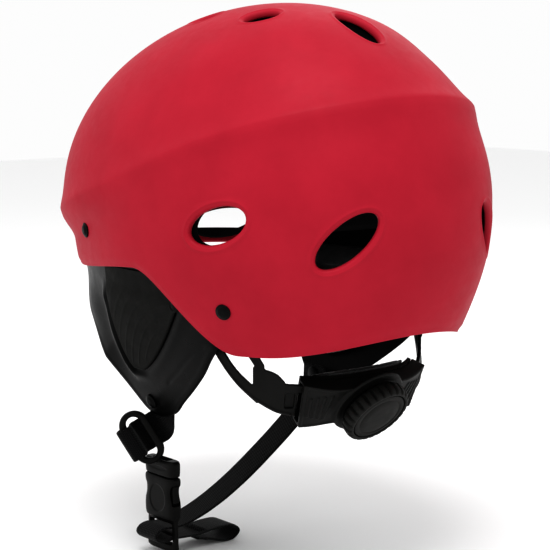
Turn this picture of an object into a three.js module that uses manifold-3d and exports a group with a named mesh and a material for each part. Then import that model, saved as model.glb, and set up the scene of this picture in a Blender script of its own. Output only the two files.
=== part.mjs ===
// Watersports helmet: moulded shell, foam liner, ear guards, dial-adjusted nape cradle and chin strap.
// Millimetres. +Z up, the wearer faces -Y, +X is the wearer's left. The origin is inside the head,
// level with the ears.
import * as THREE from 'three';
import { mergeVertices } from 'three/addons/utils/BufferGeometryUtils.js';
import Module from 'manifold-3d';

const wasm = await Module();
wasm.setup();

// ---------------------------------------------------------------- driving dimensions
// Shell: an upper and a lower half ellipsoid that share their widest section.
const HALF_WIDTH = 106.5;
const HALF_LENGTH = 139;
const WAIST_Z = 46;
const DOME_HEIGHT = 111.7;
const SKIRT_HEIGHT = 154;
const PLAN_EXPONENT = 2.15;
const APEX_SHIFT = 13.5;
const SHELL_THICK = 3;
const SHELL_COLUMNS = 40;

// Liner and comfort pads, as depths below the shell's outer face.
const LINER_OUTER = 5.3;
const LINER_INNER = 14.5;
const FLANGE_POCKET = 4.4;
const PAD_OUTER = 17;
const PAD_INNER = 22.5;

// Ear guards.
const GUARD_THICK = 2.4;
const GUARD_INSET = 4.4;
const GUARD_X = 94;
const GUARD_SLOPE = 0.375;
const GUARD_BOW = 0.0008;
const GUARD_FLARE = 6;
const EAR_PAD_DEPTH = 13;

// Rivets through shell and ear guard.
const RIVET_HEAD_R = 4.3;
const RIVET_SHAFT_R = 2;

// Webbing and buckle.
const WEB_WIDTH = 20;
const WEB_THICK = 1.6;
const STRAP_Y = -28;
const STRAP_PIVOT = { y: -27, z: -70 };
const STRAP_TOP_X = 58.6;
const BUCKLE = { x: 59, halfWidth: 14.2, thick: 9, top: -115.3, bottom: -141, end: -160 };
const PRONG = { y: 8.9, width: 3, thick: 4.4, barb: 2.6, root: -112, barbTop: -120, barbLow: -130, tip: -134 };
const PRONG_SLOPE = 0.157;
const WINDOW = { top: -119.5, bottom: -131.5, floor: -136.5 };

// Nape cradle.
const CRADLE_CENTRE_Z = -58;
const CRADLE_LEAN = THREE.MathUtils.degToRad(38);
const ANCHOR = { x: 76, y: 30, z: -4 };
const DIAL_R = 20;
const DIAL_V = 1.5;
const GAP = 0.3;

// ---------------------------------------------------------------- materials
const moulded = (color, roughness) => new THREE.MeshStandardMaterial({ color, roughness, metalness: 0 });
const RED = moulded(0xb01828, 0.45);
const FOAM = moulded(0x1a1a1a, 0.95);
const BLACK = moulded(0x141414, 0.5);
const MATT = moulded(0x1d1d1b, 0.8);
const WEB = moulded(0x101010, 0.7);

// ---------------------------------------------------------------- small helpers
const rad = THREE.MathUtils.degToRad;
const deg = THREE.MathUtils.radToDeg;
const lerp = THREE.MathUtils.lerp;
const vec = (x, y, z) => new THREE.Vector3(x, y, z);

function smooth(low, high, x) {
  return THREE.MathUtils.smoothstep(x, low, high);
}

// Straight-line interpolation through [x, y] pairs sorted by x.
function along(points, x) {
  let i = 1;
  while (i < points.length - 1 && x > points[i][0]) i += 1;
  const [x0, y0] = points[i - 1];
  const [x1, y1] = points[i];
  return lerp(y0, y1, THREE.MathUtils.clamp((x - x0) / (x1 - x0), 0, 1));
}

function fromFaces(points, faces) {
  const geometry = new THREE.BufferGeometry();
  geometry.setAttribute('position', new THREE.Float32BufferAttribute(points.flatMap((p) => p.toArray()), 3));
  geometry.setIndex(faces.flat());
  return faceOutward(geometry);
}

function signedVolume(geometry) {
  const position = geometry.getAttribute('position');
  const index = geometry.getIndex();
  const corners = [vec(0, 0, 0), vec(0, 0, 0), vec(0, 0, 0)];
  let total = 0;
  for (let i = 0; i < index.count; i += 3) {
    corners.forEach((corner, k) => corner.fromBufferAttribute(position, index.getX(i + k)));
    total += corners[0].dot(corners[1].clone().cross(corners[2]));
  }
  return total;
}

function faceOutward(geometry) {
  if (signedVolume(geometry) > 0) return geometry;
  const index = geometry.getIndex();
  for (let i = 0; i < index.count; i += 3) {
    const swapped = index.getX(i + 1);
    index.setX(i + 1, index.getX(i + 2));
    index.setX(i + 2, swapped);
  }
  return geometry;
}

function merged(geometry) {
  const plain = geometry.clone();
  plain.deleteAttribute('normal');
  plain.deleteAttribute('uv');
  return faceOutward(mergeVertices(plain, 1e-4));
}

function toSolid(geometry) {
  const plain = merged(geometry);
  return new wasm.Manifold(new wasm.Mesh({
    numProp: 3,
    vertProperties: new Float32Array(plain.getAttribute('position').array),
    triVerts: new Uint32Array(plain.getIndex().array),
  }));
}

function toGeometry(solid) {
  const mesh = solid.getMesh();
  const geometry = new THREE.BufferGeometry();
  geometry.setAttribute('position', new THREE.Float32BufferAttribute(mesh.vertProperties, 3));
  geometry.setIndex(Array.from(mesh.triVerts));
  return geometry;
}

function cut(body, ...tools) {
  return toGeometry(tools.reduce((solid, tool) => solid.subtract(toSolid(tool)), toSolid(body)));
}

function join(...bodies) {
  return toGeometry(bodies.slice(1).reduce((solid, body) => solid.add(toSolid(body)), toSolid(bodies[0])));
}

function mirrored(geometry) {
  return faceOutward(merged(geometry).scale(-1, 1, 1));
}

function box(x0, x1, y0, y1, z0, z1) {
  const geometry = new THREE.BoxGeometry(x1 - x0, y1 - y0, z1 - z0);
  return geometry.translate((x0 + x1) / 2, (y0 + y1) / 2, (z0 + z1) / 2);
}

// A cylinder between two points.
function rod(from, to, radius, sides = 20, endRadius = radius) {
  const axis = to.clone().sub(from);
  const geometry = new THREE.CylinderGeometry(endRadius, radius, axis.length(), sides);
  const turn = new THREE.Quaternion().setFromUnitVectors(vec(0, 1, 0), axis.clone().normalize());
  const middle = from.clone().add(to).multiplyScalar(0.5);
  return geometry.applyQuaternion(turn).translate(middle.x, middle.y, middle.z);
}

// A closed slab between two sheets of points, each given as a function of column and row.
function slab(columns, rows, front, back) {
  const points = [];
  const faces = [];
  const at = (side, i, j) => (side * (columns + 1) + i) * (rows + 1) + j;
  [front, back].forEach((sheet) => {
    for (let i = 0; i <= columns; i += 1) {
      for (let j = 0; j <= rows; j += 1) points.push(sheet(i / columns, j / rows));
    }
  });
  const quad = (a, b, c, d) => faces.push([a, b, c], [a, c, d]);
  for (let i = 0; i < columns; i += 1) {
    for (let j = 0; j < rows; j += 1) {
      quad(at(0, i, j), at(0, i + 1, j), at(0, i + 1, j + 1), at(0, i, j + 1));
      quad(at(1, i, j + 1), at(1, i + 1, j + 1), at(1, i + 1, j), at(1, i, j));
    }
    quad(at(1, i, 0), at(1, i + 1, 0), at(0, i + 1, 0), at(0, i, 0));
    quad(at(0, i, rows), at(0, i + 1, rows), at(1, i + 1, rows), at(1, i, rows));
  }
  for (let j = 0; j < rows; j += 1) {
    quad(at(0, 0, j), at(0, 0, j + 1), at(1, 0, j + 1), at(1, 0, j));
    quad(at(1, columns, j), at(1, columns, j + 1), at(0, columns, j + 1), at(0, columns, j));
  }
  return fromFaces(points, faces);
}

// ---------------------------------------------------------------- shell surface
// t is the azimuth from straight back toward the wearer's left.
function away(t) {
  return Math.abs(deg(Math.atan2(Math.sin(t), Math.cos(t))));
}

function planRadius(t) {
  const side = (Math.abs(Math.sin(t)) / HALF_WIDTH) ** PLAN_EXPONENT;
  const end = (Math.abs(Math.cos(t)) / HALF_LENGTH) ** PLAN_EXPONENT;
  return (side + end) ** (-1 / PLAN_EXPONENT);
}

// Height of the styled shoulder line that runs down from the back to the brow.
function shoulderZ(t) {
  return 66.5 + 37.7 * Math.cos(t) + 1.8 * Math.cos(2 * t);
}

// Height of the rim: low lobes behind the ears, a step up over the ears, a level brow.
function rimZ(t) {
  const angle = away(t);
  const lobe = -25.1 + 5.4 * Math.cos(rad(180 * Math.min(angle, 44) / 44));
  const brow = 4.5 + 10 * (1 - smooth(80, 140, angle));
  return lerp(lobe, brow, smooth(50, 87, angle));
}

// How far the styled surface stands off the plain ellipsoid.
function styling(t, z) {
  const angle = away(t);
  const rear = 1 - smooth(55, 100, angle);
  const front = smooth(85, 125, angle);
  const above = z - shoulderZ(t);
  const ridgeHeight = 4 * rear + 2.9 * front + 1.2 * (1 - rear - front);
  const ridge = ridgeHeight * Math.exp(-(Math.hypot(above, 2) - 2) / 7);
  const shoulderDip = above > 0 ? 1 - smooth(28, 50, above) : Math.exp(-((above / 26) ** 2));
  const tuck = above > 0 ? 0 : -2.3 * smooth(28, -22, z) * rear;
  const cove = -4.6 * smooth(4, 19, -above) * front;
  const browDip = -0.8 * front * Math.exp(-((above / 22) ** 2));
  return ridge - 1.9 * shoulderDip * rear + tuck + cove + browDip;
}

function shellPoint(t, z, depth = 0) {
  const height = z > WAIST_Z ? DOME_HEIGHT : SKIRT_HEIGHT;
  const level = THREE.MathUtils.clamp((z - WAIST_Z) / height, -1, 1);
  const radius = planRadius(t) * Math.sqrt(1 - level * level);
  const shift = APEX_SHIFT * Math.max(level, 0) ** 1.6;
  const point = vec(radius * Math.sin(t), radius * Math.cos(t) + shift, z);
  return point.addScaledVector(shellNormal(t, z), styling(t, z) - depth);
}

function shellNormal(t, z) {
  const height = z > WAIST_Z ? DOME_HEIGHT : SKIRT_HEIGHT;
  const level = THREE.MathUtils.clamp((z - WAIST_Z) / height, -1, 1);
  const radius = planRadius(t) * Math.sqrt(1 - level * level);
  const x = radius * Math.sin(t) / HALF_WIDTH ** 2;
  const y = radius * Math.cos(t) / HALF_LENGTH ** 2;
  return vec(x, y, (z - WAIST_Z) / height ** 2).normalize();
}

// Row heights of a dome: evenly up to the shoulder line, then evenly by angle to the apex.
function domeHeight(t, row, lowRows, rows, rim) {
  const shoulder = shoulderZ(t);
  if (row <= lowRows) return lerp(rim(t), shoulder, row / lowRows);
  const height = shoulder > WAIST_Z ? DOME_HEIGHT : SKIRT_HEIGHT;
  const start = Math.asin((shoulder - WAIST_Z) / height);
  const angle = lerp(start, Math.PI / 2, (row - lowRows) / (rows - lowRows));
  return WAIST_Z + (angle > 0 ? DOME_HEIGHT : SKIRT_HEIGHT) * Math.sin(angle);
}

// A closed dome between two depths below the shell's outer face.
function dome(columns, lowRows, rows, rim, outerDepth, innerDepth) {
  const points = [];
  const faces = [];
  const depths = [outerDepth, innerDepth];
  const at = (side, i, j) => side * (columns * rows + 1) + (j === rows ? columns * rows : (i % columns) * rows + j);
  depths.forEach((depth) => {
    for (let i = 0; i < columns; i += 1) {
      const t = 2 * Math.PI * i / columns;
      for (let j = 0; j < rows; j += 1) {
        const z = domeHeight(t, j, lowRows, rows, rim);
        points.push(shellPoint(t, z, depth(t, z)));
      }
    }
    points.push(vec(0, APEX_SHIFT, WAIST_Z + DOME_HEIGHT - depth(0, WAIST_Z + DOME_HEIGHT)));
  });
  for (let i = 0; i < columns; i += 1) {
    for (let j = 0; j < rows; j += 1) {
      const outer = [at(0, i, j), at(0, i + 1, j), at(0, i + 1, j + 1), at(0, i, j + 1)];
      const inner = [at(1, i, j), at(1, i, j + 1), at(1, i + 1, j + 1), at(1, i + 1, j)];
      faces.push([outer[0], outer[1], outer[2]], [inner[0], inner[2], inner[3]]);
      if (j < rows - 1) faces.push([outer[0], outer[2], outer[3]], [inner[0], inner[1], inner[2]]);
    }
    faces.push([at(1, i, 0), at(1, i + 1, 0), at(0, i + 1, 0)], [at(1, i, 0), at(0, i + 1, 0), at(0, i, 0)]);
  }
  return fromFaces(points, faces);
}

// ---------------------------------------------------------------- vents
// a runs toward the back and up by tilt degrees, b across it.
const VENTS = [
  { t: 54, z: 41.5, a: 17.5, b: 9.2, tilt: 20 },
  { t: 23, z: 35, a: 19.8, b: 8.8, tilt: 41 },
  { t: 154, z: 19.5, a: 19, b: 7.5, tilt: 8 },
  { t: 58, z: 150.2, a: 9.5, b: 7, tilt: 30 },
  { t: 128, z: 149.5, a: 9.5, b: 7, tilt: 30 },
];
const CENTRE_VENTS = [
  { t: 0, z: 145.5, a: 17, b: 8, tilt: 90 },
  { t: 180, z: 145.5, a: 17, b: 8, tilt: 90 },
];

function ventCutter(vent, margin) {
  const t = rad(vent.t);
  const outline = new THREE.Shape();
  outline.absellipse(0, 0, vent.a + margin, vent.b + margin, 0, 2 * Math.PI);
  const depth = 70;
  const plug = new THREE.ExtrudeGeometry(outline, { depth, bevelEnabled: false, curveSegments: 7 });
  plug.translate(0, 0, -depth / 2);
  const normal = shellNormal(t, vent.z);
  const side = vec(0, 0, 1).cross(normal).normalize();
  const back = vent.t > 0 && vent.t < 180 ? side : side.clone().negate();
  const up = normal.clone().cross(side);
  const tilt = rad(vent.tilt);
  const long = back.clone().multiplyScalar(Math.cos(tilt)).addScaledVector(up, Math.sin(tilt));
  const short = normal.clone().cross(long);
  const frame = new THREE.Matrix4().makeBasis(long, short, normal);
  frame.setPosition(shellPoint(t, vent.z));
  return merged(plug).applyMatrix4(frame);
}

function ventCutters(margin) {
  const left = VENTS.map((vent) => ventCutter(vent, margin));
  const right = left.map((cutter) => mirrored(cutter));
  return [...left, ...right, ...CENTRE_VENTS.map((vent) => ventCutter(vent, margin))];
}

// ---------------------------------------------------------------- rivets
const RIVETS = [
  { name: 'front', t: 116, z: 29.7 },
  { name: 'rear', t: 53, z: -4.3 },
];

// A point below the shell along its normal at a rivet.
function rivetPoint(rivet, depth) {
  const t = rad(rivet.t);
  return shellPoint(t, rivet.z).addScaledVector(shellNormal(t, rivet.z), -depth);
}

function rivetHole(rivet, radius, from = -8, to = 16) {
  return rod(rivetPoint(rivet, from), rivetPoint(rivet, to), radius);
}

function rivetBody(rivet) {
  const head = rod(rivetPoint(rivet, -0.9), rivetPoint(rivet, -2.4), RIVET_HEAD_R, 20, RIVET_HEAD_R - 1.1);
  const shaft = rod(rivetPoint(rivet, -1.2), rivetPoint(rivet, 9.6), RIVET_SHAFT_R, 14);
  return join(head, shaft);
}

function washerBody(rivet) {
  const disc = rod(rivetPoint(rivet, 7.75), rivetPoint(rivet, 8.95), 6);
  return cut(disc, rivetHole(rivet, RIVET_SHAFT_R + 0.15));
}

// ---------------------------------------------------------------- shell, liner, pads
function linerRim(t) {
  const angle = away(t);
  const sides = smooth(24, 40, angle) * (1 - smooth(84, 104, angle));
  return lerp(rimZ(t) + 6, 20, sides);
}

// The liner stands back from the shell where the ear guards' flanges run between them.
function linerDepth(t, z) {
  const angle = away(t);
  const flange = smooth(36, 50, angle) * (1 - smooth(128, 140, angle)) * (1 - smooth(40, 54, z));
  return LINER_OUTER + FLANGE_POCKET * flange;
}

function outerShell() {
  const body = dome(SHELL_COLUMNS, 5, 13, rimZ, () => 0, () => SHELL_THICK);
  const holes = RIVETS.map((rivet) => rivetHole(rivet, RIVET_SHAFT_R + GAP));
  return cut(body, ...ventCutters(0), ...holes, ...holes.map(mirrored));
}

function foamLiner() {
  const body = dome(30, 4, 10, linerRim, linerDepth, () => LINER_INNER);
  const pockets = RIVETS.map((rivet) => rivetHole(rivet, 8, -6, 11));
  return cut(body, ...ventCutters(1.5), ...pockets, ...pockets.map(mirrored));
}

// A rounded comfort pad on the liner's inner face, between two azimuths and two heights.
function comfortPad(t0, t1, z0, z1, columns, rows) {
  const sheet = (depth) => (u, v) => {
    const t = rad(lerp(t0, t1, u));
    const edge = Math.max(Math.abs(2 * u - 1), Math.abs(2 * v - 1));
    const z = lerp(z0, z1, v);
    const crown = depth === PAD_INNER ? -2.5 * edge ** 4 : 0;
    return shellPoint(t, z, depth + crown);
  };
  return slab(columns, rows, sheet(PAD_OUTER), sheet(PAD_INNER));
}

// A round pad under the crown.
function crownPad() {
  const radius = 34;
  const top = WAIST_Z + DOME_HEIGHT - PAD_OUTER;
  const profile = [[0, top - 7], [radius - 3, top - 12.2], [radius, top - 10.5], [radius, top - 7.4], [0, top - 0.6]];
  const lathe = new THREE.LatheGeometry(profile.map(([x, y]) => new THREE.Vector2(x, y)), 24);
  return merged(lathe.rotateX(Math.PI / 2).translate(0, APEX_SHIFT - 1, 0));
}

// ---------------------------------------------------------------- ear guards
// X of the shell at a given Y and Z, found by halving the azimuth range.
function shellX(y, z, depth) {
  let low = rad(5);
  let high = rad(175);
  for (let i = 0; i < 30; i += 1) {
    const middle = (low + high) / 2;
    if (shellPoint(middle, z, depth).y > y) low = middle;
    else high = middle;
  }
  return shellPoint((low + high) / 2, z, depth).x;
}

// Outer face of the left ear guard: inside the shell above, leaning in to the tip below, with a
// front edge that flares out again once it is clear of the shell.
function guardX(y, z) {
  const lowest = -30 + 8 * Math.log(1 + Math.exp((z + 30) / 8));
  const inside = shellX(y, lowest, GUARD_INSET);
  const leaning = GUARD_X + GUARD_SLOPE * z - GUARD_BOW * y * y;
  const blend = Math.exp(-Math.abs(inside - leaning) / 4);
  const flare = smooth(42, 80, -y) * smooth(-3, 17, -z) * smooth(-78, -52, z);
  return Math.min(inside, leaning) - blend * 0.8 + GUARD_FLARE * flare;
}

// Front and rear edges of the guard: [height, Y].
const GUARD_FRONT = [
  [-79, -33], [-70, -42], [-60, -53], [-50, -61.5], [-38, -69], [-24, -75.5], [-8, -80.5], [6, -83], [22, -78],
  [38, -60],
];
const GUARD_REAR = [
  [-79, -18], [-74, -6], [-66, 5], [-56, 19], [-44, 34], [-34, 44], [-24, 55], [-12, 70], [2, 75], [14, 58], [38, -42],
];

function guardSheet(front, rear, low, high, offset) {
  return (u, v) => {
    const z = lerp(low, high, v);
    const y = lerp(along(front, z), along(rear, z), u);
    return vec(guardX(y, z) + offset, y, z);
  };
}

function earGuard() {
  const sheet = (offset) => guardSheet(GUARD_FRONT, GUARD_REAR, -79, 38, offset);
  const plate = slab(7, 14, sheet(0), sheet(-GUARD_THICK));
  const pivot = rod(vec(50, STRAP_PIVOT.y, STRAP_PIVOT.z), vec(90, STRAP_PIVOT.y, STRAP_PIVOT.z), 2.3, 14);
  const stud = rod(vec(70, ANCHOR.y, ANCHOR.z), vec(110, ANCHOR.y, ANCHOR.z), 2.3, 14);
  return cut(plate, pivot, stud, ...RIVETS.map((rivet) => rivetHole(rivet, RIVET_SHAFT_R + GAP)));
}

// Raised matt panel over the ear: a leaning rounded wedge that runs up under the shell's edge.
const PANEL = { low: -50, high: 12, halfWidth: 39, middle: -24.4, lean: 0.53 };

function panelEdge(side, z) {
  const below = (PANEL.high - z) / (PANEL.high - PANEL.low + 1.5);
  const half = Math.max(PANEL.halfWidth * (1 - below ** 1.3) ** 0.6, 3);
  return PANEL.middle + PANEL.lean * (z + 45) + side * half;
}

function earPanel() {
  const sheet = (above, sunk) => (u, v) => {
    const z = lerp(PANEL.low, PANEL.high, v);
    const y = lerp(panelEdge(-1, z), panelEdge(1, z), u);
    return vec(guardX(y, z) + above - sunk * smooth(-6, 3, z), y, z);
  };
  const panel = slab(6, 9, sheet(1.8, 1.1), sheet(0.7, 0.4));
  const stud = rod(vec(80, ANCHOR.y, ANCHOR.z), vec(110, ANCHOR.y, ANCHOR.z), 6.5, 18);
  return cut(panel, stud);
}

const EAR_PAD_FRONT = [[-58, -34], [-50, -42], [-30, -50], [-8, -54], [8, -50]];
const EAR_PAD_REAR = [[-58, -20], [-50, -2], [-30, 12], [-8, 17], [8, 15]];

function earPad() {
  const sheet = (offset, crown) => (u, v) => {
    const point = guardSheet(EAR_PAD_FRONT, EAR_PAD_REAR, -58, 8, offset)(u, v);
    const edge = Math.max(Math.abs(2 * u - 1), Math.abs(2 * v - 1));
    point.x += crown * edge ** 4;
    return point;
  };
  return slab(6, 8, sheet(-GUARD_THICK - 1.4, 0), sheet(-GUARD_THICK - EAR_PAD_DEPTH, 5));
}

// ---------------------------------------------------------------- webbing
// A flat strap swept through stations of [x, y, z] with a width direction at each end.
function webbing(stations, startWidth, endWidth) {
  const path = stations.map(([x, y, z]) => vec(x, y, z));
  const last = path.length - 1;
  const points = [];
  const faces = [];
  path.forEach((point, i) => {
    const tangent = path[Math.min(i + 1, last)].clone().sub(path[Math.max(i - 1, 0)]).normalize();
    const width = startWidth.clone().lerp(endWidth, smooth(2, 4.6, i));
    width.addScaledVector(tangent, -width.dot(tangent)).normalize();
    const normal = tangent.clone().cross(width);
    [[-1, -1], [1, -1], [1, 1], [-1, 1]].forEach(([across, over]) => {
      const corner = point.clone().addScaledVector(width, across * WEB_WIDTH / 2);
      points.push(corner.addScaledVector(normal, over * WEB_THICK / 2));
    });
  });
  for (let i = 0; i < last; i += 1) {
    for (let k = 0; k < 4; k += 1) {
      const a = 4 * i + k;
      const b = 4 * i + (k + 1) % 4;
      faces.push([a, b, b + 4], [a, b + 4, a + 4]);
    }
  }
  faces.push([0, 2, 1], [0, 3, 2], [4 * last, 4 * last + 1, 4 * last + 2], [4 * last, 4 * last + 2, 4 * last + 3]);
  return fromFaces(points, faces);
}

// Direction of the webbing eye's long axis and its middle.
const EYE_LONG = vec(0.396, -0.332, 0.854).normalize();
const EYE_ACROSS = EYE_LONG.clone().cross(vec(0.637, 0.759, 0.139)).normalize();
const EYE_NORMAL = EYE_ACROSS.clone().cross(EYE_LONG);
const EYE_CENTRE = vec(70, -33.4, -92.2);

const EYE_BAR = EYE_CENTRE.clone().addScaledVector(EYE_ACROSS, -6.5);

// The short strap comes down inside the guard, passes through the eye and folds round its outer bar.
const FOLD = [[4.8, -4.6], [4.1, -1.2], [4, 1.8], [3, 3.6], [0, 4], [-3, 3.6], [-4.1, 1.8], [-4.1, -1.8],
  [-3, -3.7], [-0.8, -4.2]];
const LEFT_STRAP = [
  [58.6, -27, -64.5], [58.6, -27, -72], [58.2, -27.6, -79], [57.9, -31, -85.5], [62.4, -36, -90.2],
  ...FOLD.map(([across, out]) => EYE_BAR.clone()
    .addScaledVector(EYE_ACROSS, across).addScaledVector(EYE_NORMAL, out).toArray()),
];

// The route of the long chin strap in X and Z, from the right rivet to the pull loop at its end.
const RIGHT_STRAP = [
  [-58.6, -64.5], [-58.6, -71], [-58.4, -78], [-56, -84], [-49, -89.5], [-41, -95.5], [-33, -101.5], [-25, -107.3],
  [-8.5, -118.5], [8, -128.6], [24, -136.6], [38, -142], [50, -145], [58.7, -145.5], [64.5, -144.9], [69.2, -146.2],
  [71.2, -149], [69.2, -151.8], [64.5, -152.8], [58.7, -152.2], [50, -152.6], [42, -153], [33, -152.4],
  [22, -151.6], [13.5, -152.6], [9.5, -156.2], [13.5, -160.2], [21, -160.4], [32, -157.4], [41, -155.4],
];

function strapPivotHole(radius) {
  return rod(vec(-90, STRAP_PIVOT.y, STRAP_PIVOT.z), vec(90, STRAP_PIVOT.y, STRAP_PIVOT.z), radius, 14);
}

function leftStrap() {
  return cut(webbing(LEFT_STRAP, vec(0, -1, 0), EYE_LONG), strapPivotHole(2.3));
}

function rightStrap() {
  const route = RIGHT_STRAP.map(([x, z], i) => [x, i < 4 ? STRAP_PIVOT.y - i / 3 : STRAP_Y, z]);
  const notch = box(-STRAP_TOP_X - 4, -STRAP_TOP_X + 4, STRAP_PIVOT.y - 2.3, STRAP_PIVOT.y + 2.3, STRAP_PIVOT.z, -60);
  return cut(webbing(route, vec(0, 1, 0), vec(0, 1, 0)), strapPivotHole(2.3), notch);
}

function strapRivet() {
  const at = (x) => vec(x, STRAP_PIVOT.y, STRAP_PIVOT.z);
  const outer = guardX(STRAP_PIVOT.y, STRAP_PIVOT.z);
  const head = rod(at(outer + 1.9), at(outer + 3.2), 4.6, 18, 3.8);
  const inner = rod(at(STRAP_TOP_X - 2.9), at(STRAP_TOP_X - 1.5), 4.6, 18);
  return join(head, inner, rod(at(STRAP_TOP_X - 2), at(outer + 2.5), 2, 14));
}

// ---------------------------------------------------------------- buckle
const buckleBox = (halfThick, halfWidth, z0, z1) => box(
  BUCKLE.x - halfThick, BUCKLE.x + halfThick, STRAP_Y - halfWidth, STRAP_Y + halfWidth, z0, z1);

// A stadium-shaped plate in the eye's own plane.
function eyePlate(length, width, depth) {
  const half = (length - width) / 2;
  const outline = new THREE.Shape();
  outline.absarc(half, 0, width / 2, -Math.PI / 2, Math.PI / 2, false);
  outline.absarc(-half, 0, width / 2, Math.PI / 2, 1.5 * Math.PI, false);
  const plate = new THREE.ExtrudeGeometry(outline, { depth, bevelEnabled: false, curveSegments: 8 });
  plate.translate(0, 0, -depth / 2);
  const frame = new THREE.Matrix4().makeBasis(EYE_LONG, EYE_NORMAL.clone().cross(EYE_LONG), EYE_NORMAL);
  return merged(plate).applyMatrix4(frame.setPosition(EYE_CENTRE));
}

function buckleMale() {
  const eye = cut(eyePlate(34, 18, 4), eyePlate(27.6, 8, 8));
  const base = buckleBox(4.2, BUCKLE.halfWidth, BUCKLE.top + GAP + 0.1, -105.2);
  const recess = buckleBox(2.4, 7, -107.6, -104);
  const tongue = buckleBox(1.5, 2.2, -134, BUCKLE.top + 1);
  const sockets = [-1, 1].map((side) => box(
    BUCKLE.x - PRONG.thick / 2 - GAP, BUCKLE.x + PRONG.thick / 2 + GAP,
    STRAP_Y + side * PRONG.y - PRONG.width / 2 - 2.7, STRAP_Y + side * PRONG.y + PRONG.width / 2 + 2.7,
    BUCKLE.top - 1, -111.5));
  return cut(join(cut(base, recess, ...sockets), tongue, eye));
}

// A plate across the buckle: the outline lies in Y and Z and is extruded along X.
function buckleSlice(outline, thick, side = 1) {
  const plate = new THREE.ExtrudeGeometry(outline, { depth: thick, bevelEnabled: false });
  const frame = new THREE.Matrix4().makeBasis(vec(0, side, 0), vec(0, 0, 1), vec(1, 0, 0));
  frame.setPosition(BUCKLE.x - thick / 2, STRAP_Y, 0);
  return faceOutward(merged(plate).applyMatrix4(frame));
}

function prong(side) {
  const inner = PRONG.y - PRONG.width / 2;
  const outer = PRONG.y + PRONG.width / 2;
  const outline = new THREE.Shape();
  outline.moveTo(inner, PRONG.root);
  outline.lineTo(inner, PRONG.tip + 3);
  outline.lineTo(outer, PRONG.tip);
  outline.lineTo(outer + PRONG.barb, PRONG.barbLow);
  outline.lineTo(outer + PRONG.barb, PRONG.barbTop);
  outline.lineTo(outer, PRONG.barbTop + 1);
  outline.lineTo(outer, PRONG.root);
  return buckleSlice(outline, PRONG.thick, side);
}

function buckleFemale() {
  const body = buckleBox(BUCKLE.thick / 2, BUCKLE.halfWidth, BUCKLE.bottom, BUCKLE.top);
  const barbOuter = PRONG.y + PRONG.width / 2 + PRONG.barb;
  const neck = barbOuter + GAP;
  const mouth = neck - PRONG_SLOPE * (BUCKLE.top - WINDOW.top);
  const side = BUCKLE.halfWidth + 4;
  const half = [
    [mouth, BUCKLE.top + 1], [neck, WINDOW.top], [side, WINDOW.top], [side, WINDOW.bottom], [mouth, WINDOW.floor],
  ];
  const throat = new THREE.Shape();
  half.forEach(([y, z], i) => (i === 0 ? throat.moveTo(y, z) : throat.lineTo(y, z)));
  half.reverse().forEach(([y, z]) => throat.lineTo(-y, z));
  const cavity = buckleSlice(throat, PRONG.thick + 1.2);
  const frame = join(
    buckleBox(1.8, BUCKLE.halfWidth, BUCKLE.end, BUCKLE.bottom + 1),
    buckleBox(3, BUCKLE.halfWidth, BUCKLE.end, BUCKLE.end + 3.4));
  const slots = [[-148.2, -142.6], [-155.2, -150]].map(([z0, z1]) => buckleBox(6, 10.8, z0, z1));
  return cut(join(body, frame), cavity, ...slots);
}

// ---------------------------------------------------------------- nape cradle
// Plan of the cradle's left half; s is the length along it from the middle of the nape.
const PLAN = new THREE.CatmullRomCurve3([
  vec(-24, 76, 0), vec(0, 78, 0), vec(24, 76, 0), vec(44, 70.5, 0), vec(58, 62.5, 0), vec(68, 52, 0),
  vec(74, 40, 0), vec(ANCHOR.x, ANCHOR.y, 0)], false, 'centripetal');
PLAN.arcLengthDivisions = 400;
const PLAN_START = 24.1;
const PLAN_LENGTH = PLAN.getLength();

// World point of cradle coordinates: s along, v up the leaning face, d outward from it.
function cradlePoint(s, v, d) {
  const u = THREE.MathUtils.clamp((Math.abs(s) + PLAN_START) / PLAN_LENGTH, 0, 1);
  const plan = PLAN.getPointAt(u);
  const tangent = PLAN.getTangentAt(u);
  const lean = CRADLE_LEAN * (1 - smooth(20, 66, Math.abs(s)));
  const across = vec(-tangent.y, tangent.x, 0);
  const up = across.clone().multiplyScalar(Math.sin(lean)).setZ(Math.cos(lean));
  const normal = across.clone().multiplyScalar(Math.cos(lean)).setZ(-Math.sin(lean));
  const point = plan.clone().setZ(CRADLE_CENTRE_Z).addScaledVector(up, v).addScaledVector(normal, d);
  if (s < 0) point.x = -point.x;
  return point;
}

// A bent bar in cradle coordinates whose lower and upper edges follow [s, v] lists.
function bentBar(s0, s1, low, high, d0, d1, steps) {
  const edge = (list, s) => (typeof list === 'number' ? list : along(list, s));
  const sheet = (d) => (u, w) => {
    const s = lerp(s0, s1, u);
    return cradlePoint(s, lerp(edge(low, s), edge(high, s), w), d);
  };
  return slab(steps, 1, sheet(d1), sheet(d0));
}

const HOUSING = { s: 42, low: -12.8, high: 15.2, d: 6.6 };

function dialAxis(d) {
  return cradlePoint(0, DIAL_V, d);
}

function dialHousing() {
  const body = bentBar(-HOUSING.s, HOUSING.s, HOUSING.low, HOUSING.high, -1.6, HOUSING.d, 14);
  const cavity = bentBar(-HOUSING.s - 1, HOUSING.s + 1, HOUSING.low + 1.8, HOUSING.high - 1.8, -3, 5.2, 14);
  const boss = rod(dialAxis(HOUSING.d - 1), dialAxis(HOUSING.d + 1.4), 17.5, 28);
  return cut(join(cut(body, cavity), boss), rod(dialAxis(0), dialAxis(12), 3.4, 18));
}

function housingCover() {
  const plate = bentBar(-HOUSING.s + 1, HOUSING.s - 1, HOUSING.low + 0.4, HOUSING.high - 0.4, -4.2, -1.9, 14);
  return cut(plate, rod(dialAxis(-8), dialAxis(2), 2.4, 18));
}

function napePad() {
  return bentBar(-35, 35, HOUSING.low, HOUSING.high, -10.5, -5.7, 12);
}

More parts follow.
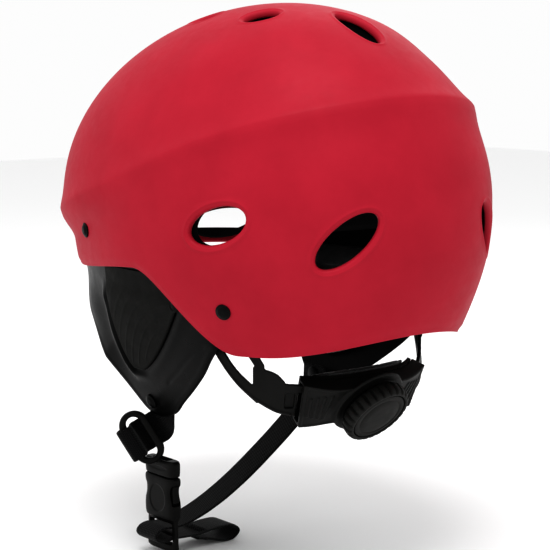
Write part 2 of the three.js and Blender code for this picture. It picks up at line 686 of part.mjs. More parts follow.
function detentRing() {
  const ring = rod(dialAxis(8.3), dialAxis(9.2), 13.5, 24);
  return cut(ring, rod(dialAxis(6), dialAxis(12), 8.5, 20));
}

// Gear outline as a shape of straight-sided teeth.
function toothed(teeth, root, tip) {
  const outline = new THREE.Shape();
  for (let i = 0; i < teeth; i += 1) {
    [[0, root], [0.3, root], [0.45, tip], [0.85, tip]].forEach(([part, radius], k) => {
      const angle = 2 * Math.PI * (i + part) / teeth;
      const move = i === 0 && k === 0 ? 'moveTo' : 'lineTo';
      outline[move](radius * Math.cos(angle), radius * Math.sin(angle));
    });
  }
  return outline;
}

function onDial(outline, d0, d1) {
  const plate = new THREE.ExtrudeGeometry(outline, { depth: d1 - d0, bevelEnabled: false });
  const axis = dialAxis(1).sub(dialAxis(0)).normalize();
  const frame = new THREE.Matrix4().makeBasis(vec(1, 0, 0), axis.clone().cross(vec(1, 0, 0)), axis);
  return merged(plate).applyMatrix4(frame.setPosition(dialAxis(d0)));
}

function dialKnob() {
  const grip = onDial(toothed(24, DIAL_R - 1, DIAL_R), 9.6, 18.4);
  return cut(grip, rod(dialAxis(15.6), dialAxis(22), 16.6, 28), rod(dialAxis(5), dialAxis(22), 2.8, 14));
}

function dialCap() {
  return rod(dialAxis(16), dialAxis(18.9), 16.2, 28, 15.2);
}

function dialPinion() {
  const gear = onDial(toothed(9, 3.1, 4), -1.2, 4.2);
  const shaft = rod(dialAxis(4), dialAxis(15.2), 2.5, 14);
  return cut(join(gear, shaft), rod(dialAxis(-3), dialAxis(13), 1.2, 10));
}

function dialScrew() {
  const head = rod(dialAxis(-4), dialAxis(-1.6), 2.2, 14);
  return join(head, rod(dialAxis(-1.7), dialAxis(12.5), 1, 10));
}

// The left arm: rack tongue, fork plate with its window, and two legs up to the pivot barrel.
function cradleArm(tongueLow, tongueHigh) {
  const d0 = 0.6;
  const d1 = 2.8;
  const tongue = bentBar(10, 48, tongueLow, tongueHigh, d0, d1, 7);
  const plate = bentBar(43, 66, [[43, -7], [54, -4], [66, 3]], [[43, 12], [48.5, 12.3], [53, 17], [66, 21]], d0, d1, 6);
  const frontLeg = bentBar(64, 98.5, [[64, 1], [76, 13], [88, 30], [98.5, 47]],
    [[64, 9], [76, 21], [88, 40], [98.5, 60]], d0, d1, 9);
  const rearLeg = bentBar(60, 98.5, [[60, 12], [68, 26], [84, 43], [98.5, 50]],
    [[60, 22], [68, 35], [84, 51], [98.5, 59]], d0, d1, 9);
  const barrel = rod(vec(ANCHOR.x, ANCHOR.y, ANCHOR.z - 4.8), vec(ANCHOR.x, ANCHOR.y, ANCHOR.z + 4.8), 3.2, 16);
  const bore = rod(vec(ANCHOR.x, ANCHOR.y, ANCHOR.z - 9), vec(ANCHOR.x, ANCHOR.y, ANCHOR.z + 9), 2.1, 14);
  const lighten = bentBar(45, 48.5, 1, 7, -4, 8, 1);
  const clear = [
    rod(vec(ANCHOR.x, ANCHOR.y, ANCHOR.z + 5), vec(ANCHOR.x, ANCHOR.y, ANCHOR.z + 12), 7, 16),
    rod(vec(ANCHOR.x, ANCHOR.y, ANCHOR.z - 12), vec(ANCHOR.x, ANCHOR.y, ANCHOR.z - 5), 7, 16),
  ];
  return cut(join(tongue, plate, frontLeg, rearLeg, barrel), bore, lighten, ...clear);
}

// A swivel block that turns on the stud and carries the arm's upright pin.
function cradlePivot() {
  const { x, y, z } = ANCHOR;
  const block = box(x + 3.6, x + 8, y - 6, y + 6, z - 7, z + 7);
  const lower = box(x - 3, x + 4, y - 3, y + 3, z - 7, z - 5.2);
  const upper = box(x - 3, x + 4, y - 3, y + 3, z + 5.2, z + 7);
  const pin = rod(vec(x, y, z - 6), vec(x, y, z + 6), 1.8, 12);
  const bore = rod(vec(x + 2, y, z), vec(x + 12, y, z), 2.3, 14);
  return cut(join(block, lower, upper, pin), bore);
}

function cradleStud() {
  const { x, y, z } = ANCHOR;
  const outer = guardX(y, z);
  const head = rod(vec(outer + 1.5, y, z), vec(outer + 2.7, y, z), 4, 18);
  const collar = rod(vec(x + 8.4, y, z), vec(outer - GUARD_THICK - 1.8, y, z), 4.5, 18);
  const shaft = rod(vec(x + 4.2, y, z), vec(outer + 2, y, z), 2, 14);
  return join(head, collar, shaft);
}

// ---------------------------------------------------------------- assembly
const helmet = new THREE.Group();

function add(name, geometry, material) {
  const mesh = new THREE.Mesh(geometry, material);
  mesh.name = name;
  helmet.add(mesh);
}

function addPair(name, geometry, material) {
  add(`left_${name}`, geometry, material);
  add(`right_${name}`, mirrored(geometry), material);
}

add('outer_shell', outerShell(), RED);
add('foam_liner', foamLiner(), FOAM);
add('crown_pad', crownPad(), FOAM);
add('brow_pad', comfortPad(148, 212, 36, 56, 10, 4), FOAM);
add('rear_pad', comfortPad(-12, 12, 60, 92, 5, 4), FOAM);
addPair('temple_pad', comfortPad(72, 112, 42, 76, 6, 4), FOAM);
RIVETS.forEach((rivet) => {
  addPair(`${rivet.name}_rivet`, rivetBody(rivet), BLACK);
  addPair(`${rivet.name}_washer`, washerBody(rivet), BLACK);
});
addPair('ear_guard', earGuard(), BLACK);
addPair('ear_panel', earPanel(), MATT);
addPair('ear_pad', earPad(), FOAM);
addPair('cradle_stud', cradleStud(), BLACK);
addPair('cradle_pivot', cradlePivot(), MATT);
add('left_cradle_arm', cradleArm(7.6, 12.4), MATT);
add('right_cradle_arm', mirrored(cradleArm(-9.6, -4.6)), MATT);
add('dial_housing', dialHousing(), MATT);
add('housing_cover', housingCover(), MATT);
add('nape_pad', napePad(), FOAM);
add('detent_ring', detentRing(), MATT);
add('dial_knob', dialKnob(), MATT);
add('dial_cap', dialCap(), BLACK);
add('dial_pinion', dialPinion(), MATT);
add('dial_screw', dialScrew(), BLACK);
addPair('strap_rivet', strapRivet(), BLACK);
add('left_strap', leftStrap(), WEB);
add('buckle_male', buckleMale(), BLACK);
add('front_prong', prong(-1), BLACK);
add('rear_prong', prong(1), BLACK);
add('buckle_female', buckleFemale(), BLACK);
add('right_strap', rightStrap(), WEB);

export default helmet;
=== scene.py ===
"""Watersports helmet: the visual model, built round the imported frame."""

import math

import bmesh
import bpy
import numpy as np
from mathutils import Matrix, Vector


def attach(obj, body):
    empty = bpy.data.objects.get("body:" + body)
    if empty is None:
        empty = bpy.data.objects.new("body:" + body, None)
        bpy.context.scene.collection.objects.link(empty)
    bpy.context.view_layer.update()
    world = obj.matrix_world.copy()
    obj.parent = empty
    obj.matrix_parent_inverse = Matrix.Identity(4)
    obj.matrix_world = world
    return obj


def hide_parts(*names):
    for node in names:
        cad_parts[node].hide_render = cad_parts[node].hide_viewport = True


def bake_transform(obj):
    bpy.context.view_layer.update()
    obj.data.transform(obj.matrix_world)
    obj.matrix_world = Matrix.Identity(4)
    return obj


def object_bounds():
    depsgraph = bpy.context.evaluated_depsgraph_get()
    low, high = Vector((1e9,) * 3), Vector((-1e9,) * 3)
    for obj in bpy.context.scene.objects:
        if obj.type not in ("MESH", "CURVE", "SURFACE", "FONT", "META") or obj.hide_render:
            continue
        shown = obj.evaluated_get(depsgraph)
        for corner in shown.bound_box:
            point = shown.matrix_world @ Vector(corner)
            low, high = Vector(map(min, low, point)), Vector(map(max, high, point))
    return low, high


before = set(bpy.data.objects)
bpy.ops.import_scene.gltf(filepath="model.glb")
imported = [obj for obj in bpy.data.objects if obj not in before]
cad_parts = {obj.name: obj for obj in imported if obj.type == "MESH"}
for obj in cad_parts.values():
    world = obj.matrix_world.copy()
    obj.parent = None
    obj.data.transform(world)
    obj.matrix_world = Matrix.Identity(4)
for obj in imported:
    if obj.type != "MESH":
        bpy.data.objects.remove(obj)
cad_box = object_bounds()
MM = 0.001

# ---------------------------------------------------------------- driving dimensions, in millimetres
HALF_WIDTH, HALF_LENGTH, WAIST_Z = 106.5, 139.0, 46.0
DOME_HEIGHT, SKIRT_HEIGHT = 111.7, 154.0
PLAN_EXPONENT, APEX_SHIFT = 2.15, 13.5
SHELL_THICK = 3.0
LINER_OUTER, LINER_INNER, FLANGE_POCKET = 5.3, 14.5, 4.4
PAD_OUTER, PAD_INNER = 14.9, 22.5
GUARD_THICK, GUARD_INSET, GUARD_X, GUARD_SLOPE, GUARD_BOW = 2.4, 4.4, 94.0, 0.375, 0.0008
GUARD_FLARE = 6.0
WEB_WIDTH, WEB_THICK = 20.0, 1.6
STRAP_PIVOT = (-27.0, -70.0)
STRAP_Y = -28.0
STRAP_TOP_X = 58.6
BUCKLE_X = 59.0
ANCHOR = np.array([76.0, 30.0, -4.0])
CRADLE_CENTRE_Z, CRADLE_LEAN = -58.0, math.radians(38)
HOUSING_S, HOUSING_LOW, HOUSING_RISE, HOUSING_HIGH, HOUSING_D = 42.0, -12.8, 1.2, 15.2, 6.6
DIAL_V = 1.5

# Vents: azimuth and height of the middle, half length, half width, and tilt up toward the back.
SIDE_VENTS = [
    (54, 41.5, 17.5, 9.2, 20), (23, 35, 19.8, 8.8, 41), (154, 19.5, 19, 7.5, 8),
    (58, 150.2, 9.5, 7, 30), (128, 149.5, 9.5, 7, 30),
]
CENTRE_VENTS = [(0, 145.5, 17, 8, 90), (180, 145.5, 17, 8, 90)]
RIVETS = {"front": (116, 29.7), "rear": (53, -4.3)}
CLOTH_MASS, CLOTH_STIFF, CLOTH_PRESSURE = 0.001, 5.0, 300.0
CLOTH_FRAMES = 20

# ---------------------------------------------------------------- numeric helpers
def smooth(low, high, x):
    s = np.clip((np.asarray(x, float) - low) / (high - low), 0, 1)
    return s * s * (3 - 2 * s)


def lerp(a, b, s):
    return a + (b - a) * s


def unit(v):
    v = np.asarray(v, float)
    return v / np.maximum(np.linalg.norm(v, axis=-1, keepdims=True), 1e-12)


def eased(points, x):
    """A smooth curve y(x) through [x, y] points sorted by x, with monotone slopes."""
    px, py = np.array(points, float).T
    slope = np.diff(py) / np.diff(px)
    tangent = np.concatenate([[slope[0]], (slope[1:] + slope[:-1]) / 2, [slope[-1]]])
    turn = np.concatenate([[False], slope[1:] * slope[:-1] <= 0, [False]])
    tangent[turn] = 0
    x = np.clip(x, px[0], px[-1])
    i = np.clip(np.searchsorted(px, x) - 1, 0, len(px) - 2)
    h = px[i + 1] - px[i]
    s = (x - px[i]) / h
    a = (1 + 2 * s) * (1 - s) ** 2 * py[i] + s * (1 - s) ** 2 * h * tangent[i]
    b = s * s * (3 - 2 * s) * py[i + 1] + s * s * (s - 1) * h * tangent[i + 1]
    return a + b


def curve_through(points, steps):
    """Points evenly spaced along a centripetal spline through the given ones."""
    p = np.array(points, float)
    p = np.vstack([2 * p[0] - p[1], p, 2 * p[-1] - p[-2]])
    fine = []
    for i in range(1, len(p) - 2):
        a, b, c, d = p[i - 1], p[i], p[i + 1], p[i + 2]
        knots = np.cumsum([0, *(np.sqrt(np.linalg.norm(v)) for v in (b - a, c - b, d - c))])
        for t in np.linspace(knots[1], knots[2], 24, endpoint=False):
            fine.append(barry_goldman(a, b, c, d, knots, t))
    fine = np.array(fine + [p[-2]])
    run = np.concatenate([[0], np.cumsum(np.linalg.norm(np.diff(fine, axis=0), axis=1))])
    at = np.linspace(0, run[-1], steps)
    return np.stack([np.interp(at, run, fine[:, k]) for k in range(3)], axis=1), run[-1]


def barry_goldman(a, b, c, d, k, t):
    def mix(p, q, t0, t1):
        return ((t1 - t) * p + (t - t0) * q) / (t1 - t0)
    ab, bc, cd = mix(a, b, k[0], k[1]), mix(b, c, k[1], k[2]), mix(c, d, k[2], k[3])
    return mix(mix(ab, bc, k[0], k[2]), mix(bc, cd, k[1], k[3]), k[1], k[2])


def circle(sides, flat_x=1.0, flat_y=1.0):
    """Points round a unit circle; powers below 1 square it off."""
    angle = np.arange(sides) * 2 * math.pi / sides
    x, y = np.cos(angle), np.sin(angle)
    return np.sign(x) * np.abs(x) ** flat_x, np.sign(y) * np.abs(y) ** flat_y


def polyline_distance(points, line):
    """Distance of 2-D points to an open polyline."""
    best = np.full(len(points), 1e9)
    for a, b in zip(line[:-1], line[1:]):
        ab = b - a
        s = np.clip(((points - a) @ ab) / max(ab @ ab, 1e-12), 0, 1)
        best = np.minimum(best, np.linalg.norm(points - a - s[:, None] * ab, axis=1))
    return best


# ---------------------------------------------------------------- mesh helpers
def place(name, data):
    obj = bpy.data.objects.new(name, data)
    bpy.context.scene.collection.objects.link(obj)
    return obj


def discard(obj):
    mesh = obj.data
    bpy.data.objects.remove(obj)
    bpy.data.meshes.remove(mesh)


def claim(obj, body, replaced):
    """Says which body a piece rides on and which nodes it replaces."""
    if body:
        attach(obj, body)
    if replaced:
        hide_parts(*replaced)


def make(name, verts, faces, material, body, replaced=(), mirror=False, uv=None, smooth_angle=None):
    """A mesh object from millimetre points, riding on a body."""
    verts = np.array(verts, float) * MM
    if mirror:
        verts[:, 0] *= -1
    mesh = bpy.data.meshes.new(name)
    mesh.from_pydata(verts.tolist(), [], [list(map(int, f)) for f in faces])
    mesh.validate()
    bm = bmesh.new()
    bm.from_mesh(mesh)
    bmesh.ops.remove_doubles(bm, verts=bm.verts, dist=1e-6)
    bmesh.ops.recalc_face_normals(bm, faces=bm.faces)
    bm.to_mesh(mesh)
    bm.free()
    if uv is not None:
        layer = mesh.uv_layers.new(name="weave")
        for loop in mesh.loops:
            layer.data[loop.index].uv = uv[loop.vertex_index]
    for polygon in mesh.polygons:
        polygon.use_smooth = True
    if smooth_angle:
        mesh.set_sharp_from_angle(angle=math.radians(smooth_angle))
    obj = place(name, mesh)
    obj.data.materials.append(material)
    claim(obj, body, replaced)
    return obj


def one_side(side, name, solid, material, node, smooth_angle=None):
    """A piece of the helmet, mirrored if it is on the right."""
    return make(f"{side}_{name}", *solid, material, "helmet", [f"{side}_{node}"], mirror=side == "right",
                smooth_angle=smooth_angle)


def both_sides(*piece):
    for side in ("left", "right"):
        one_side(side, *piece)


def grid_faces(columns, rows):
    """Quads of a grid of points stored column by column."""
    faces = []
    for i in range(columns - 1):
        for j in range(rows - 1):
            a, b = i * rows + j, (i + 1) * rows + j
            faces.append((a, b, b + 1, a + 1))
    return faces


def merge_solids(solids):
    verts, faces, base = [], [], 0
    for v, f in solids:
        verts.append(np.asarray(v, float))
        faces += [tuple(k + base for k in face) for face in f]
        base += len(v)
    return np.vstack(verts), faces


def tube_faces(rings, sides, loop=False):
    """Faces between rings of points, with end caps unless the last ring joins the first."""
    faces = []
    for i in range(rings if loop else rings - 1):
        a, b = i * sides, (i + 1) % rings * sides
        for k in range(sides):
            m = (k + 1) % sides
            faces.append((a + k, a + m, b + m, b + k))
    if not loop:
        last = (rings - 1) * sides
        faces += [tuple(range(sides - 1, -1, -1)), tuple(last + k for k in range(sides))]
    return faces


def closed_sheet(front, back):
    """A closed solid between two grids of points of the same size, with rounded edges given by the grids."""
    columns, rows = front.shape[:2]
    n = columns * rows
    faces = grid_faces(columns, rows)
    faces += [tuple(n + k for k in reversed(f)) for f in grid_faces(columns, rows)]
    ring = [i * rows for i in range(columns)]
    ring += [(columns - 1) * rows + j for j in range(1, rows)]
    ring += [i * rows + rows - 1 for i in range(columns - 2, -1, -1)]
    ring += [j for j in range(rows - 2, 0, -1)]
    for a, b in zip(ring, ring[1:] + ring[:1]):
        faces.append((a, b, n + b, n + a))
    return np.vstack([front.reshape(-1, 3), back.reshape(-1, 3)]), faces


def rod(a, b, radius, sides=32, end_radius=None):
    a, b = np.asarray(a, float), np.asarray(b, float)
    w = unit(b - a)
    u = unit(np.cross(w, [0.31, 0.87, 0.39]))
    v = np.cross(w, u)
    x, y = circle(sides)
    ring = x[:, None] * u + y[:, None] * v
    end_radius = radius if end_radius is None else end_radius
    verts = np.vstack([a + ring * radius, b + ring * end_radius, a[None], b[None]])
    faces = []
    for i in range(sides):
        j = (i + 1) % sides
        faces += [(i, j, sides + j, sides + i), (j, i, 2 * sides), (sides + i, sides + j, 2 * sides + 1)]
    return verts, faces


def turned(origin, axis, profile, sides=64):
    """A solid of revolution: profile is (radius, height) from the axis back to the axis."""
    axis = unit(axis)
    u = unit(np.cross(axis, [0.31, 0.87, 0.39]))
    v = np.cross(axis, u)
    verts, faces, rings = [], [], []
    x, y = circle(sides)
    ring = x[:, None] * u + y[:, None] * v
    for radius, height in profile:
        centre = np.asarray(origin, float) + axis * height
        if radius <= 1e-6:
            rings.append([len(verts)] * sides)
            verts.append(centre)
        else:
            rings.append(list(range(len(verts), len(verts) + sides)))
            verts.extend(centre + ring * radius)
    for low, high in zip(rings[:-1], rings[1:]):
        for i in range(sides):
            j = (i + 1) % sides
            face = [low[i], low[j], high[j], high[i]]
            faces.append(tuple(dict.fromkeys(face)))
    return np.array(verts), [f for f in faces if len(f) > 2]


def arc(radius, height, r, start, end, steps=6):
    """Profile points of a rounding of radius r about (radius, height), angles in degrees."""
    return [(radius + r * math.cos(math.radians(a)), height + r * math.sin(math.radians(a)))
            for a in np.linspace(start, end, steps)]


def fuse(obj, voxel, rounds, ratio=None):
    """Joins overlapping solids of one moulding and softens its edges."""
    remesh = obj.modifiers.new("fuse", "REMESH")
    remesh.mode = "VOXEL"
    remesh.voxel_size = voxel * MM
    soften = obj.modifiers.new("soften", "SMOOTH")
    soften.factor = 0.5
    soften.iterations = rounds
    if ratio:
        lighter = obj.modifiers.new("lighter", "DECIMATE")
        lighter.ratio = ratio
    apply_modifiers(obj)
    for polygon in obj.data.polygons:
        polygon.use_smooth = True
    return obj


def apply_modifiers(obj):
    graph = bpy.context.evaluated_depsgraph_get()
    mesh = bpy.data.meshes.new_from_object(obj.evaluated_get(graph))
    mesh.name = obj.name
    old = obj.data
    obj.modifiers.clear()
    obj.data = mesh
    bpy.data.meshes.remove(old)


def softened_node(node, name, body, material, voxel, rounds, ratio):
    """A moulded version of a CAD node with rounded edges."""
    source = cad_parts[node]
    obj = place(name, source.data.copy())
    obj.matrix_world = source.matrix_world.copy()
    obj.data.transform(obj.matrix_world)
    obj.matrix_world = Matrix.Identity(4)
    obj.data.materials.clear()
    obj.data.materials.append(material)
    fuse(obj, voxel, rounds, ratio)
    claim(obj, body, [node])


# ---------------------------------------------------------------- materials
def new_material(name):
    material = bpy.data.materials.new(name)
    material.use_nodes = True
    nodes = material.node_tree.nodes
    return material, nodes, material.node_tree.links, nodes["Principled BSDF"]


def texture(nodes, links, kind, scale, coordinate="Object", stretch=None, **sockets):
    where = nodes.new("ShaderNodeTexCoord")
    node = nodes.new(kind)
    node.inputs["Scale"].default_value = scale
    for socket, value in sockets.items():
        node.inputs[socket.replace("_", " ").capitalize()].default_value = value
    source = where.outputs[coordinate]
    if stretch:
        mapping = nodes.new("ShaderNodeMapping")
        mapping.inputs["Scale"].default_value = stretch
        links.new(source, mapping.inputs["Vector"])
        source = mapping.outputs["Vector"]
    links.new(source, node.inputs["Vector"])
    return node


def ramp(nodes, links, source, low, high, start=0.35, end=0.65):
    node = nodes.new("ShaderNodeValToRGB")
    node.color_ramp.elements[0].position = start
    node.color_ramp.elements[1].position = end
    node.color_ramp.elements[0].color = (*low, 1) if hasattr(low, "__len__") else (low, low, low, 1)
    node.color_ramp.elements[1].color = (*high, 1) if hasattr(high, "__len__") else (high, high, high, 1)
    links.new(source, node.inputs["Fac"])
    return node.outputs["Color"]


def bump(nodes, links, source, shader, strength, distance, below=None):
    node = nodes.new("ShaderNodeBump")
    node.inputs["Strength"].default_value = strength
    node.inputs["Distance"].default_value = distance
    links.new(source, node.inputs["Height"])
    if below is not None:
        links.new(below, node.inputs["Normal"])
    links.new(node.outputs["Normal"], shader.inputs["Normal"])
    return node.outputs["Normal"]


def set_sockets(shader, values):
    for socket, value in values.items():
        shader.inputs[socket].default_value = value


def plastic(name, dark, light, rough_low, rough_high, grain, grain_strength, specular):
    """Moulded plastic: a fine grain, slight colour drift, and handling marks in the roughness."""
    material, nodes, links, shader = new_material(name)
    drift = texture(nodes, links, "ShaderNodeTexNoise", 28.0, detail=5.0, roughness=0.6)
    links.new(ramp(nodes, links, drift.outputs["Fac"], dark, light), shader.inputs["Base Color"])
    wear = texture(nodes, links, "ShaderNodeTexNoise", 140.0, detail=7.0, roughness=0.7, distortion=0.4)
    rough = ramp(nodes, links, wear.outputs["Fac"], rough_low, rough_high, 0.3, 0.7)
    links.new(rough, shader.inputs["Roughness"])
    fine = texture(nodes, links, "ShaderNodeTexNoise", grain, detail=3.0, roughness=0.55)
    wave = texture(nodes, links, "ShaderNodeTexNoise", 60.0, detail=2.0)
    low = bump(nodes, links, wave.outputs["Fac"], shader, 0.04, 0.0004)
    bump(nodes, links, fine.outputs["Fac"], shader, grain_strength, 0.00012, low)
    set_sockets(shader, {"Coat Weight": 0.0, "Coat Roughness": 0.25, "Specular IOR Level": specular})
    return material


def foam(name, colour, light):
    """Closed-cell foam with a skin: small cells and a dull sheen."""
    material, nodes, links, shader = new_material(name)
    cells = texture(nodes, links, "ShaderNodeTexVoronoi", 900.0)
    drift = texture(nodes, links, "ShaderNodeTexNoise", 40.0, detail=6.0)
    links.new(ramp(nodes, links, drift.outputs["Fac"], colour, light), shader.inputs["Base Color"])
    wave = texture(nodes, links, "ShaderNodeTexNoise", 180.0, detail=4.0)
    low = bump(nodes, links, wave.outputs["Fac"], shader, 0.25, 0.0008)
    bump(nodes, links, cells.outputs["Distance"], shader, 0.35, 0.0003, low)
    set_sockets(shader, {"Roughness": 0.86, "Specular IOR Level": 0.3})
    return material


def knit(name, dark, light):
    """Warp-knit lining cloth over soft foam."""
    material, nodes, links, shader = new_material(name)
    stitches = texture(nodes, links, "ShaderNodeTexVoronoi", 1100.0, stretch=(1, 1, 1.7))
    drift = texture(nodes, links, "ShaderNodeTexNoise", 55.0, detail=5.0)
    tone = ramp(nodes, links, stitches.outputs["Distance"], light, dark, 0.1, 0.6)
    mix = nodes.new("ShaderNodeMix")
    mix.data_type = "RGBA"
    mix.blend_type = "MULTIPLY"
    mix.inputs["Factor"].default_value = 0.6
    links.new(tone, mix.inputs[6])
    links.new(ramp(nodes, links, drift.outputs["Fac"], 0.55, 1.0), mix.inputs[7])
    links.new(mix.outputs[2], shader.inputs["Base Color"])
    soft = texture(nodes, links, "ShaderNodeTexNoise", 220.0, detail=4.0)
    low = bump(nodes, links, soft.outputs["Fac"], shader, 0.3, 0.0008)
    bump(nodes, links, stitches.outputs["Distance"], shader, 0.7, 0.0003, low)
    set_sockets(shader, {"Roughness": 0.92, "Sheen Weight": 0.35, "Sheen Roughness": 0.5,
                         "Specular IOR Level": 0.25})
    return material


def woven(name, dark, light):
    """Flat polyester webbing; the weave runs with the strap's own coordinates, in millimetres."""
    material, nodes, links, shader = new_material(name)
    where = nodes.new("ShaderNodeUVMap")
    where.uv_map = "weave"
    ribs = []
    for turn, scale in ((0.0, 1.0), (math.radians(63), 0.8)):
        mapping = nodes.new("ShaderNodeMapping")
        mapping.inputs["Rotation"].default_value = (0, 0, turn)
        links.new(where.outputs["UV"], mapping.inputs["Vector"])
        wave = nodes.new("ShaderNodeTexWave")
        wave.wave_type = "BANDS"
        wave.bands_direction = "X"
        wave.inputs["Scale"].default_value = scale / 3.2
        wave.inputs["Distortion"].default_value = 0.25
        links.new(mapping.outputs["Vector"], wave.inputs["Vector"])
        ribs.append(wave.outputs["Fac"])
    both = nodes.new("ShaderNodeMath")
    both.operation = "MULTIPLY"
    links.new(ribs[0], both.inputs[0])
    links.new(ribs[1], both.inputs[1])
    links.new(ramp(nodes, links, both.outputs[0], dark, light, 0.0, 0.8), shader.inputs["Base Color"])
    fuzz = texture(nodes, links, "ShaderNodeTexNoise", 1500.0, detail=3.0)
    low = bump(nodes, links, fuzz.outputs["Fac"], shader, 0.2, 0.0002)
    bump(nodes, links, both.outputs[0], shader, 0.85, 0.0004, low)
    set_sockets(shader, {"Roughness": 0.66, "Sheen Weight": 0.08, "Specular IOR Level": 0.12})
    return material


# Dark and light tone, lowest and highest roughness, grain scale and strength, specular level.
SHELL_RED = plastic("shell_red", (0.37, 0.018, 0.037), (0.41, 0.0212, 0.0425), 0.46, 0.58, 1500, 0.1, 0.12)
GUARD_BLACK = plastic("guard_black", (0.0015, 0.0015, 0.0015), (0.003, 0.003, 0.0029), 0.26, 0.36, 1400, 0.1,
                      0.07)
PANEL_MATT = plastic("panel_matt", (0.0045, 0.0045, 0.004), (0.0085, 0.0085, 0.0075), 0.6, 0.72, 1700, 0.6,
                     0.12)
CRADLE_BLACK = plastic("cradle_black", (0.006, 0.006, 0.0055), (0.01, 0.01, 0.0092), 0.45, 0.58, 1600, 0.3,
                       0.2)
DIAL_BLACK = plastic("dial_black", (0.0085, 0.0085, 0.0078), (0.0145, 0.0145, 0.0132), 0.5, 0.62, 1900, 0.4,
                     0.2)
BUCKLE_BLACK = plastic("buckle_black", (0.003, 0.003, 0.0028), (0.0055, 0.0055, 0.005), 0.34, 0.46, 1700,
                       0.22, 0.14)
RIVET_BLACK = plastic("rivet_black", (0.0025, 0.0025, 0.0025), (0.005, 0.005, 0.005), 0.34, 0.46, 1500, 0.15,
                      0.12)
LINER_FOAM = foam("liner_foam", (0.005, 0.005, 0.0053), (0.01, 0.01, 0.0105))
PAD_KNIT = knit("comfort_fabric", (0.004, 0.004, 0.0043), (0.018, 0.018, 0.0195))
WEBBING = woven("webbing", (0.0015, 0.0015, 0.0017), (0.008, 0.008, 0.0085))


# ---------------------------------------------------------------- shell surface
# t is the azimuth from straight back toward the wearer's left, in radians.
def away(t):
    return np.abs(np.degrees(np.arctan2(np.sin(t), np.cos(t))))


def shoulder_z(t):
    return 66.5 + 37.7 * np.cos(t) + 1.8 * np.cos(2 * t)


def rim_z(t):
    angle = away(t)
    lobe = -25.1 + 5.4 * np.cos(math.pi * np.minimum(angle, 44) / 44)
    brow = 4.5 + 10 * (1 - smooth(80, 140, angle))
    return lerp(lobe, brow, smooth(50, 87, angle))


def styling(t, z):
    angle = away(t)
    rear = 1 - smooth(55, 100, angle)
    front = smooth(85, 125, angle)
    above = z - shoulder_z(t)
    ridge = (4 * rear + 2.9 * front + 1.2 * (1 - rear - front)) * np.exp(-(np.hypot(above, 2) - 2) / 7)
    dip = np.where(above > 0, 1 - smooth(28, 50, above), np.exp(-((above / 26) ** 2)))
    tuck = np.where(above > 0, 0, -2.3 * smooth(28, -22, z) * rear)
    cove = -4.6 * smooth(4, 19, -above) * front
    brow = -0.8 * front * np.exp(-((above / 22) ** 2))
    return ridge - 1.9 * dip * rear + tuck + cove + brow


def shell_level(t, z):
    height = np.where(z > WAIST_Z, DOME_HEIGHT, SKIRT_HEIGHT)
    level = np.clip((z - WAIST_Z) / height, -1, 1)
    across, along = np.abs(np.sin(t)) / HALF_WIDTH, np.abs(np.cos(t)) / HALF_LENGTH
    plan = across ** PLAN_EXPONENT + along ** PLAN_EXPONENT
    return height, level, plan ** (-1 / PLAN_EXPONENT) * np.sqrt(1 - level * level)


def shell_normal(t, z):
    height, _, radius = shell_level(t, z)
    x = radius * np.sin(t) / HALF_WIDTH ** 2
    y = radius * np.cos(t) / HALF_LENGTH ** 2
    return unit(np.stack([x, y, (z - WAIST_Z) / height ** 2], axis=-1))


def shell_point(t, z, depth=0.0):
    t, z = np.broadcast_arrays(np.asarray(t, float), np.asarray(z, float))
    _, level, radius = shell_level(t, z)
    shift = APEX_SHIFT * np.maximum(level, 0) ** 1.6
    point = np.stack([radius * np.sin(t), radius * np.cos(t) + shift, z], axis=-1)
    return point + shell_normal(t, z) * (styling(t, z) - depth)[..., None]


def dome_height(t, row, low_rows, rows, rim):
    """Row heights: evenly up to the shoulder line, then evenly by angle to the apex."""
    shoulder = shoulder_z(t)
    start = np.arcsin((shoulder - WAIST_Z) / np.where(shoulder > WAIST_Z, DOME_HEIGHT, SKIRT_HEIGHT))
    angle = lerp(start, math.pi / 2, (row - low_rows) / (rows - low_rows))
    upper = WAIST_Z + np.where(angle > 0, DOME_HEIGHT, SKIRT_HEIGHT) * np.sin(angle)
    return np.where(row <= low_rows, lerp(rim(t), shoulder, row / low_rows), upper)


START_ANGLE = math.radians(90)


def all_vents():
    vents = [(math.radians(t), z, a, b, math.radians(tilt)) for t, z, a, b, tilt in SIDE_VENTS + CENTRE_VENTS]
    return vents + [(-math.radians(t), z, a, b, math.radians(tilt)) for t, z, a, b, tilt in SIDE_VENTS]


def vent_axes(vent):
    t, z, _, _, tilt = vent
    normal = shell_normal(np.array(t), np.array(z))
    side = unit(np.cross([0, 0, 1], normal))
    back = side if 0 < t < math.pi - 1e-6 else -side
    up = np.cross(normal, side)
    long = back * math.cos(tilt) + up * math.sin(tilt)
    return shell_point(t, z), long, np.cross(normal, long), normal


def find_on_surface(vent, depth, u, v):
    """Surface points under local vent coordinates (u, v), by Newton steps in (t, z)."""
    centre, long, short, _ = vent_axes(vent)
    t, z = np.full_like(u, vent[0]), np.full_like(u, vent[1])
    top = WAIST_Z + DOME_HEIGHT - 0.02

    def local(tt, zz):
        p = shell_point(tt, zz, depth(tt, zz)) - centre
        return p @ long, p @ short
    for _ in range(9):
        f, g = local(t, z)
        ft, gt = local(t + 1e-5, z)
        fz, gz = local(t, z + 1e-4)
        a, c = (ft - f) / 1e-5, (gt - g) / 1e-5
        b, d = (fz - f) / 1e-4, (gz - g) / 1e-4
        det = a * d - b * c
        du, dv = u - f, v - g
        t = t + np.clip((d * du - b * dv) / det, -0.2, 0.2)
        z = np.clip(z + np.clip((a * dv - c * du) / det, -8, 8), -40, top)
    return shell_point(t, z, depth(t, z))


